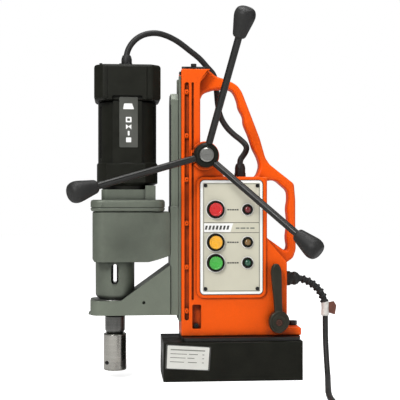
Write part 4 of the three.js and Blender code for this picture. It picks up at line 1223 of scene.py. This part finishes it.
class DRILLPRESS_OT_slide(bpy.types.Operator):
    """Slide plate, gearbox castings, arbor bracket and spindle housing"""

    bl_idname = "drill_press.slide"
    bl_label = "Slide and Gearbox"

    def execute(self, context):
        piece("slide_plate_body", copied("slide_plate", 1.2, 35, 3), "carriage", pale_casting(),
              ["slide_plate"])
        piece("bracket_casting", self.bracket(), "carriage", pale_casting(), ["arbor_bracket"])
        piece("gearbox_casting", copied("gearbox_housing", 1.6, 30, 3), "carriage", casting(),
              ["gearbox_housing"])
        piece("gearbox_lid", self.cover(), "carriage", casting(), ["gearbox_cover"])
        piece("spindle_nose", self.nose(), "carriage", casting(), ["spindle_housing"])
        self.trim()
        repaint(ground_steel(), "rack")
        return {"FINISHED"}

    def bracket(self):
        body = copied("arbor_bracket", 1.2, 35, 3)
        hole = turned([(0, -50), (2.6, -50), (2.6, -31), (0, -31)], (-139.9, 0, 122.6), Y_AXIS, 24)
        return carved(body, [hole])

    def cover(self):
        body = copied("gearbox_cover", 1.2, 35, 3)
        low, high = node_box("gearbox_cover")
        groove = rounded_rectangle(low.x - 8, high.x + 8, low.y - 8, high.y + 8, 26)
        inner = rounded_rectangle(low.x + 1.3, high.x - 1.3, low.y + 1.3, high.y - 1.3, 18.5)
        return carved(body, [plate(groove, 271.4, 272.8, holes=[inner], edge=0.3, facing="up", rounds=1)])

    def nose(self):
        centre = node_centre("spindle_housing")
        low, high = node_box("spindle_housing")
        profile = [(17, low.z), (24.5, low.z), (31, low.z + 6), (31, high.z), (17, high.z)]
        body = turned(profile, (centre.x, 0, 0), Z_AXIS, 96, ease=3.0)
        slot = plate(rounded_rectangle(-191.2, -179.7, 150.8, 183.5, 5.7), -50, 50, edge=0.01, rounds=1)
        recess = plate(rounded_rectangle(-193.6, -177.3, 148.4, 185.6, 8.1), -50, -30.3, edge=0.01, rounds=1)
        return carved(body, [slot, recess])

    def trim(self):
        low = node_box("slide_plate")[0]
        # Painted shadow: a thin black strip along the slide plate's left edge, where that side lies in shade.
        strip = block(low.x - 0.7, low.x + 1.0, -30.5, -24, 274.5, 435, 0.4, 2)
        piece("slide_wiper", strip, "carriage", soft_black())
        buffer_place = (-81.9, 0, 484.5)
        head = turned([(0, -32), (2.3, -32), (2.3, -26), (0, -26)], buffer_place, Y_AXIS, 24, ease=0.6)
        piece("slide_stop_pin", head, "frame", black_oxide())
        lip = plate(eased([(-227.6, 103), (-216, 103), (-216, 108.5), (-222, 107.4)], 1.0), -20, 20, edge=1.0)
        piece("bracket_lip", lip, "carriage", pale_casting())
        ring = turned([(24, 125.5), (33.5, 125.5), (33.5, 126.4), (24, 126.4)], (-185, 0, 0), Z_AXIS, 64,
                      ease=0.3)
        piece("bracket_seat_ring", ring, "carriage", faced_steel())


class DRILLPRESS_OT_motor(bpy.types.Operator):
    """Motor housing, its cap, its badge and its working parts"""

    bl_idname = "drill_press.motor"
    bl_label = "Motor"

    AXIS_X = -165.5
    FLUTE_RADIUS = 44.6

    def execute(self, context):
        low = node_box("motor_housing")[0]
        axis = (self.AXIS_X, 0, 0)
        outer = [
            (0, low.z), (40, low.z), (40, 306), (44, 308.2), (48.5, 310.5), (48.5, 341), (46.5, 343),
            (46.5, 437.5),
            (45.2, 439), (0, 439),
        ]
        shell = turned(outer, axis, Z_AXIS, 96, ease=1.0)
        flat = plate(eased([(-188.2, 338), (-142.7, 338), (-142.7, 439), (-188.2, 439)], 2), -47, -30,
                     edge=1.4)
        skirt = plate(eased([(-198, 311), (-137, 311), (-137, 341), (-198, 341)], 2), -48.4, -30, edge=1.6)
        shell = carved(shell, [flat, skirt], "UNION")
        bore = turned([(0, 310), (42, 310), (42, 450), (0, 450)], axis, Z_AXIS, 64)
        eye = turned([(0, 290), (5.3, 290), (5.3, 320), (0, 320)], axis, Z_AXIS, 32)
        flutes = [self.flute(math.radians(angle)) for angle in (200, 340)]
        piece("motor_shell", carved(shell, [bore, eye, *flutes]), "carriage", moulding(), ["motor_housing"],
              smooth=30)
        piece("motor_end_cap", self.cap(), "carriage", moulding(), ["motor_cap"])
        self.badge()
        repaint(copper_winding(), "field_winding", "commutator")
        repaint(faced_steel(), "armature_core")
        repaint(ground_steel(), "armature_shaft")
        repaint(moulding(), "cooling_fan")
        return {"FINISHED"}

    def flute(self, angle):
        x = self.AXIS_X + self.FLUTE_RADIUS * math.cos(angle)
        y = self.FLUTE_RADIUS * math.sin(angle)
        return block(x - 1.3, x + 1.3, y - 9, y - 1, 350, 432)

    def cap(self):
        low, high = node_box("motor_cap")
        x0, x1 = -217.7, -113.3
        octagon = [(x0 + 14, -50), (x1 - 14, -50), (x1, -36), (x1, 36), (x1 - 14, 50), (x0 + 14, 50),
                   (x0, 36), (x0, -36)]
        body = plate(eased(octagon, 3), low.z, high.z, edge=5, facing="up", rounds=4)
        front = plate(eased([(-196.5, 440.6), (-135.2, 440.6), (-135.2, 492.5), (-196.5, 492.5)], 2), -51.9,
                      -40, edge=1.2)
        notch = plate(eased([(-189.5, 430), (-142.4, 430), (-142.4, 446.6), (-189.5, 446.6)], 2.4), -60,
                      -47.2, edge=0.01,
                      rounds=1)
        inside = turned([(0, low.z - 1), (43, low.z - 1), (43, 492), (0, 492)], (self.AXIS_X, 0, 0), Z_AXIS,
                        64)
        eye = turned([(0, 480), (4, 480), (4, 510), (0, 510)], (-166.5, 0, 0), Z_AXIS, 24)
        pips = [turned([(0, 494), (2.4, 494), (2.4, 498.4), (0, 498.4)], (x0 + reach, -34, 0), Z_AXIS, 24,
                       ease=0.5)
                for reach in (10.7, 41.7)]
        return carved(carved(body, [front, *pips], "UNION"), [notch, inside, eye])

    def badge(self):
        face = -47.0
        field = surface("badge_field", (0.050, 0.052, 0.044), (0.064, 0.066, 0.056), 0.42, grain=2000,
                        bump=0.1)
        outline = rounded_rectangle(-178.3, -149.5, 366, 444.8, 2)
        piece("motor_badge", plate(outline, face - 0.9, face + 0.3, edge=0.35), "carriage", field)
        front = face - 1.0
        marks = [
            plate(eased([(-172.5, 425.5), (-155.3, 425.5), (-158.6, 434.4), (-170.8, 434.4)], 1), front,
                  front + 0.3, edge=0.08),
            plate(rounded_rectangle(-168.2, -159.4, 405, 413.4, 1), front, front + 0.3, edge=0.08,
                  holes=[rounded_rectangle(-166, -161.6, 407.2, 411.2, 0.8)]),
            plate([(-168, 394), (-163.8, 398), (-159.6, 394), (-159.6, 402), (-163.8, 398.9), (-168, 402)],
                  front,
                  front + 0.3, edge=0.05),
            plate(rounded_rectangle(-165.2, -162.4, 384.5, 391.6, 0.8), front, front + 0.3, edge=0.08),
            plate(rounded_rectangle(-167.8, -159.8, 374, 381.4, 0.8), front, front + 0.3, edge=0.08),
        ]
        piece("motor_badge_marks", together(*marks), "carriage", panel_white())


class DRILLPRESS_OT_spindle(bpy.types.Operator):
    """Spindle, arbor sleeve with its set screw, and the gear train"""

    bl_idname = "drill_press.spindle"
    bl_label = "Spindle and Gears"

    def execute(self, context):
        centre = node_centre("spindle")
        profile = [
            (0, 52), (12, 52), (12, 71.3), (13, 71.3), (14.2, 73), (16, 76.3), (16, 98.2), (14, 99.5),
            (14, 206), (10, 206),
            (10, 236), (0, 236),
        ]
        body = turned(profile, (centre.x, 0, 0), Z_AXIS, 64, ease=0.6)
        drift = plate(rounded_rectangle(centre.x - 2.65, centre.x + 2.65, 152, 182, 2.6), -30, 30, edge=0.01,
                      rounds=1)
        shaft = surface("spindle_steel", (0.20, 0.20, 0.19), (0.10, 0.10, 0.095), 0.28, 0.95,
                        marks=(0.02, 0.02, 1.0))
        piece("spindle_body", carved(body, [drift]), "spindle_assembly", shaft, ["spindle"])
        profile = [
            (9.5, 12.6), (17.4, 12.6), (18.3, 13.8), (18.3, 69.4), (17.2, 71), (12.35, 71), (12.35, 51.6),
            (9.5, 51.6),
        ]
        sleeve = turned(profile, (centre.x, 0, 0), Z_AXIS, 96, ease=0.5)
        hole = turned([(0, -30), (3.2, -30), (3.2, 0), (0, 0)], (-197.9, 0, 25.3), Y_AXIS, 32)
        piece("arbor_body", carved(sleeve, [hole]), "spindle_assembly", turned_steel(), ["arbor_sleeve"])
        set_screw = turned([(0, -10.4), (1.4, -10.4), (1.4, -12.2), (3.0, -12.2), (3.0, -8), (0, -8)],
                           (-197.9, 0, 25.3),
                           Y_AXIS, 24)
        piece("arbor_set_screw", set_screw, "spindle_assembly", black_oxide())
        repaint(ground_steel(), "spindle_gear", "layshaft_gears")
        return {"FINISHED"}


class DRILLPRESS_OT_leads(bpy.types.Operator):
    """Motor lead and mains lead with their glands, plug, tag and storage coil"""

    bl_idname = "drill_press.leads"
    bl_label = "Leads"

    MOTOR_ROUTE = [
        (-166.5, 0, 506), (-166.5, 0, 516), (-162.7, 1, 528.2), (-154.6, 3, 539.8), (-143.3, 7, 548.7),
        (-130.2, 12, 553.7), (-117.1, 17, 555.1), (-102.1, 24, 552.7), (-83.7, 31, 545.1), (-63.5, 37, 531.5),
        (-44.9, 42, 517.6), (-33, 44.5, 504.9), (-22.8, 46, 493.6), (-17.7, 46.5, 478.8), (-16.4, 46, 460),
        (-14.5, 44, 440), (-10, 42, 421), (-1, 38.5, 405), (10, 34.5, 393), (20.5, 30, 384),
        (27.5, 24.5, 376.5), (29.5, 17, 370), (27, 9.5, 362.5), (22, 4, 355.5), (18, 0.8, 350),
        (16.8, 0, 344), (16.8, 0, 337), (16.8, 0, 330),
    ]
    MAINS_ROUTE = [
        (155.5, 0, 118.8), (156, -0.1, 114), (156.6, -0.4, 105), (156.7, -1, 94.7), (156.5, -2.5, 76),
        (156.2, -5, 60), (155.8, -10, 45), (155, -18, 30.5), (153.4, -30, 17), (151, -45, 8.4),
        (147.8, -62, 5.2),
        (144, -80, 4.7), (133.5, -130, 4.6), (123, -183, 4.6), (117.5, -225, 4.6), (117, -260, 4.6),
        (121, -294, 4.6), (129.2, -322, 4.6), (135.4, -350, 4.7), (137.7, -371, 4.8),
    ]
    COIL_RADIUS = 54
    BOOT_ROUTE = [
        (112.3, 0, 156.7), (115, 0, 156.6), (119.2, 0, 155.3), (128, 0, 152), (135.9, 0, 147),
        (143, 0, 141.3),
        (147.8, 0, 135.5), (151.8, 0, 129), (154.3, 0, 123.5), (155.2, 0, 119.4),
    ]

    def execute(self, context):
        self.motor_lead()
        self.glands()
        self.boot()
        self.mains()
        return {"FINISHED"}

    def motor_lead(self):
        path = smooth_path(self.MOTOR_ROUTE)
        lead = piece("motor_lead_tube", tube(path, sizes().motor_lead_diameter / 2 / MM, 20), None,
                     soft_black(),
                     ["motor_lead"], smooth=60)
        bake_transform(lead)

    def glands(self):
        for node, name, body in (("motor_gland", "motor_gland_nut", "carriage"),
                                 ("box_gland", "box_gland_nut", "frame")):
            low, high = node_box(node)
            centre = (low + high) / 2
            hexagon = [(5.3, low.z), (9.2, low.z), (9.2, low.z + 7), (5.3, low.z + 7)]
            nut = turned(hexagon, (centre.x, 0, 0), Z_AXIS, 6, ease=0.5)
            dome = [(5.3, low.z + 6.8), (8.5, low.z + 6.8), (8.5, high.z - 7), (7.9, high.z - 4),
                    (6.4, high.z), (5.3, high.z)]
            piece(name, together(nut, turned(dome, (centre.x, 0, 0), Z_AXIS, 48, ease=0.8)), body,
                  soft_black(), [node])
        low, high = node_box("mains_gland")
        centre = (low + high) / 2
        profile = [
            (0, low.x), (6.8, low.x), (6.8, 88.4), (11.8, 88.4), (11.8, 98), (10.2, 99.4), (10.2, 103),
            (10.9, 104),
            (10.9, 107), (8.6, high.x), (0, high.x),
        ]
        piece("mains_gland_body", turned(profile, (0, 0, centre.z), X_AXIS, 48, ease=0.6), "frame",
              soft_black(),
              ["mains_gland"])

    def boot(self):
        path = smooth_path(self.BOOT_ROUTE, 3)
        curve = bpy.data.curves.new("boot", "CURVE")
        curve.dimensions = "3D"
        spline = curve.splines.new("POLY")
        spline.points.add(len(path) - 1)
        for point, place in zip(spline.points, path):
            point.co = (*place, 1)
        holder = bpy.data.objects.new("boot", curve)
        bpy.context.collection.objects.link(holder)
        values = {"Radius": 4.9, "Rib radius": 5.0, "Rib thickness": 2.1, "Ribs": 8, "Material": soft_black()}
        mesh = grown(ribbed_tree, holder, values)
        drop(holder)
        piece("strain_relief_sleeve", tidy(from_mesh(mesh), 1e-3), "frame", soft_black(), ["strain_relief"],
              smooth=50)

    def mains(self):
        diameter = sizes().mains_diameter / MM
        path = smooth_path(self.MAINS_ROUTE)
        coil_low, coil_high = node_box("mains_coil")
        middle = (coil_low + coil_high) / 2
        plug_low, plug_high = node_box("mains_plug")
        path += self.coil(middle, diameter)
        last, heading = path[-1], (path[-1] - path[-2]).normalized()
        neck = Vector((plug_high.x, (plug_low.y + plug_high.y) / 2, 13))
        path += smooth_path([last, last + heading * 12, neck + Vector((9, 0, 0)),
                             neck - Vector((9, 0, 0))])[1:]
        cord = piece("mains_lead_tube", tube(path, diameter / 2, 12), "frame", soft_black(),
                     ["mains_cord", "mains_coil"],
                     smooth=60)
        plug = self.plug(plug_low, plug_high)
        tie = self.tie(middle)
        tag, strap = self.tag()

    def coil(self, middle, diameter):
        """Four turns side by side, spiralling in, then three on top, spiralling out, and a quarter."""
        pitch = diameter * 1.02
        lower, upper = 4.8, 13.2
        lanes = [(self.COIL_RADIUS + pitch * step, lower) for step in (1.5, 0.5, -0.5, -1.5)]
        lanes += [(self.COIL_RADIUS + pitch * step, upper) for step in (-1, 0, 1, 1)]
        steps = 32
        points = []
        for step in range(1, int(7.25 * steps) + 1):
            turn = step / steps
            here, after = lanes[int(turn)], lanes[min(int(turn) + 1, 7)]
            sideways, rise = (self.ease(turn % 1, start, start + 0.27) for start in (0.72, 0.42))
            radius = here[0] + (after[0] - here[0]) * sideways
            height = here[1] + (after[1] - here[1]) * rise
            angle = -2 * math.pi * turn
            points.append(Vector((middle.x + radius * math.cos(angle), middle.y + radius * math.sin(angle),
                                  height)))
        return points

    def ease(self, value, start, end):
        share = min(1.0, max(0.0, (value - start) / (end - start)))
        return share * share * (3 - 2 * share)

    def plug(self, low, high):
        """A generic moulded three-pin plug lying on its side."""
        y = (low.y + high.y) / 2
        outline = [(y - 21, 1.5), (y + 21, 1.5), (y + 22, 8), (y + 19, 27), (y + 14, 28.8), (y - 14, 28.8),
                   (y - 19, 27), (y - 22, 8)]
        body = plate(eased(outline, 5), high.x - 54, high.x - 18, edge=4, facing="side", rounds=4)
        grip = turned([(0, high.x - 22), (9, high.x - 22), (8, high.x - 10), (6.2, high.x), (0, high.x)],
                      (0, y, 13), X_AXIS, 32,
                      ease=1.5)
        pins = [turned([(0, low.x), (2.1, low.x + 0.4), (2.4, low.x + 2), (2.4, low.x + 20), (0, low.x + 20)],
                       (0, y + dy, z),
                       X_AXIS, 24) for dy, z in ((-8, 8), (8, 8), (0, 20))]
        contacts = piece("mains_plug_pins", together(*pins), "frame", ground_steel())
        shell = piece("mains_plug_body", together(body, grip), "frame", soft_black(), ["mains_plug"])
        contacts.parent = shell
        return shell

    def tie(self, middle):
        centre = middle.x - self.COIL_RADIUS
        path = []
        for i in range(33):
            a = 2 * math.pi * i / 32
            height = max(1.2, 9.0 + 11.2 * math.sin(a))
            path.append(Vector((centre + 15.5 * math.cos(a), middle.y, height)))
        body = bmesh.new()
        rings = []
        for p in path[:-1]:
            outward = (p - Vector((centre, middle.y, 9))).normalized()
            corners = [p + outward * s * 0.6 + Y_AXIS * w for s, w in ((-1, -4), (1, -4), (1, 4), (-1, 4))]
            rings.append([body.verts.new(c) for c in corners])
        for i, ring in enumerate(rings):
            after = rings[(i + 1) % len(rings)]
            for j in range(4):
                k = (j + 1) % 4
                body.faces.new((ring[j], ring[k], after[k], after[j]))
        bmesh.ops.recalc_face_normals(body, faces=body.faces)
        return piece("coil_tie", body, "frame", soft_black())

    def tag(self):
        strap_body = turned([(4.6, 95.5), (6.0, 95.5), (6.3, 99), (5.8, 108), (6.3, 116), (6.0, 119),
                             (4.6, 119)],
                            (156.3, -0.5, 0), Z_AXIS, 32, ease=0.8)
        white = surface("tag_strap", (0.72, 0.70, 0.66), (0.45, 0.43, 0.40), 0.5, grain=900, bump=0.3,
                        patch=120)
        strap = piece("cord_strap", strap_body, "frame", white)
        card = plate(eased([(161.5, 100.5), (172.5, 97), (175, 112), (170.5, 119.4), (162, 117.5)], 1.2),
                     -2.2, -1.2, edge=0.35)
        brown = surface("tag_card", (0.15, 0.045, 0.024), (0.09, 0.026, 0.016), 0.55, grain=1200, bump=0.25,
                        patch=90)
        return piece("cord_tag", card, "frame", brown), strap


class DRILLPRESS_OT_stage(bpy.types.Operator):
    """Plain floor, soft studio lights and the camera"""

    bl_idname = "drill_press.stage"
    bl_label = "Studio"

    AMBIENT = 0.27
    FLOOR_GLOW = 0.75
    LIGHTS = (
        ("key", (-0.95, -1.5, 1.35), 0.5, 31),
        ("fill", (1.5, -1.5, 0.7), 1.0, 8),
        ("top", (0.0, -0.1, 1.9), 0.9, 22),
    )

    def execute(self, context):
        self.floor()
        self.world(context)
        for name, place, size, power in self.LIGHTS:
            self.light(name, place, size, power)
        context.scene.view_settings.view_transform = "Standard"
        data = bpy.data.cameras.new("camera")
        data.sensor_width = 36
        data.lens = 88.9
        camera = bpy.data.objects.new("camera", data)
        camera.location = (-0.181, -1.590, 0.284)
        camera.rotation_euler = (math.radians(90), 0, math.radians(-4.77))
        context.collection.objects.link(camera)
        context.scene.camera = camera
        return {"FINISHED"}

    def floor(self):
        body = bmesh.new()
        bmesh.ops.create_grid(body, x_segments=1, y_segments=1, size=6.0)
        mesh = bpy.data.meshes.new("floor")
        body.to_mesh(mesh)
        body.free()
        ground = bpy.data.objects.new("floor", mesh)
        bpy.context.collection.objects.link(ground)
        paper = surface("floor_white", (0.9, 0.9, 0.9), (0.88, 0.88, 0.88), 0.8, bump=0.02)
        shader = paper.node_tree.nodes["Principled BSDF"]
        shader.inputs["Emission Color"].default_value = (1, 1, 1, 1)
        rays = paper.node_tree.nodes.new("ShaderNodeLightPath")
        strength = sums(paper.node_tree, "MULTIPLY", rays.outputs["Is Camera Ray"], self.FLOOR_GLOW)
        paper.node_tree.links.new(strength, shader.inputs["Emission Strength"])
        mesh.materials.append(paper)

    def world(self, context):
        world = bpy.data.worlds.new("studio")
        world.use_nodes = True
        tree = world.node_tree
        ambient = tree.nodes["Background"]
        ambient.inputs["Color"].default_value = (1, 1, 1, 1)
        ambient.inputs["Strength"].default_value = self.AMBIENT
        backdrop = tree.nodes.new("ShaderNodeBackground")
        backdrop.inputs["Color"].default_value = (1, 1, 1, 1)
        rays = tree.nodes.new("ShaderNodeLightPath")
        mix = tree.nodes.new("ShaderNodeMixShader")
        tree.links.new(rays.outputs["Is Camera Ray"], mix.inputs["Fac"])
        tree.links.new(ambient.outputs["Background"], mix.inputs[1])
        tree.links.new(backdrop.outputs["Background"], mix.inputs[2])
        tree.links.new(mix.outputs["Shader"], tree.nodes["World Output"].inputs["Surface"])
        context.scene.world = world

    def light(self, name, place, size, power):
        data = bpy.data.lights.new(name, "AREA")
        data.size = size
        data.energy = power
        lamp = bpy.data.objects.new(name, data)
        lamp.location = place
        aim = Vector((-0.05, 0, 0.28)) - Vector(place)
        lamp.rotation_euler = aim.to_track_quat("-Z", "Y").to_euler()
        bpy.context.collection.objects.link(lamp)


OPERATORS = (
    DRILLPRESS_OT_magnet,
    DRILLPRESS_OT_frame,
    DRILLPRESS_OT_panel,
    DRILLPRESS_OT_clamp,
    DRILLPRESS_OT_capstan,
    DRILLPRESS_OT_slide,
    DRILLPRESS_OT_motor,
    DRILLPRESS_OT_spindle,
    DRILLPRESS_OT_leads,
    DRILLPRESS_OT_stage,
)


class DRILLPRESS_PT_panel(bpy.types.Panel):
    """Lists the pieces of the drill press with their settings"""

    bl_idname = "DRILLPRESS_PT_panel"
    bl_label = "Drill Press"
    bl_space_type = "VIEW_3D"
    bl_region_type = "UI"
    bl_category = "Drill Press"

    def draw(self, context):
        layout = self.layout
        for settings in (context.scene.drill_press_finish, context.scene.drill_press_sizes):
            for name in settings.__annotations__:
                layout.prop(settings, name)
        for operator in OPERATORS:
            layout.operator(operator.bl_idname)


CLASSES = (DrillPressFinish, DrillPressSizes, *OPERATORS, DRILLPRESS_PT_panel)


def register():
    for cls in CLASSES:
        bpy.utils.register_class(cls)
    bpy.types.Scene.drill_press_finish = bpy.props.PointerProperty(type=DrillPressFinish)
    bpy.types.Scene.drill_press_sizes = bpy.props.PointerProperty(type=DrillPressSizes)


def unregister():
    del bpy.types.Scene.drill_press_sizes
    del bpy.types.Scene.drill_press_finish
    for cls in reversed(CLASSES):
        bpy.utils.unregister_class(cls)


def main():
    register()
    for operator in OPERATORS:
        getattr(bpy.ops.drill_press, operator.bl_idname.split(".")[1])()


if __name__ == "__main__":
    main()
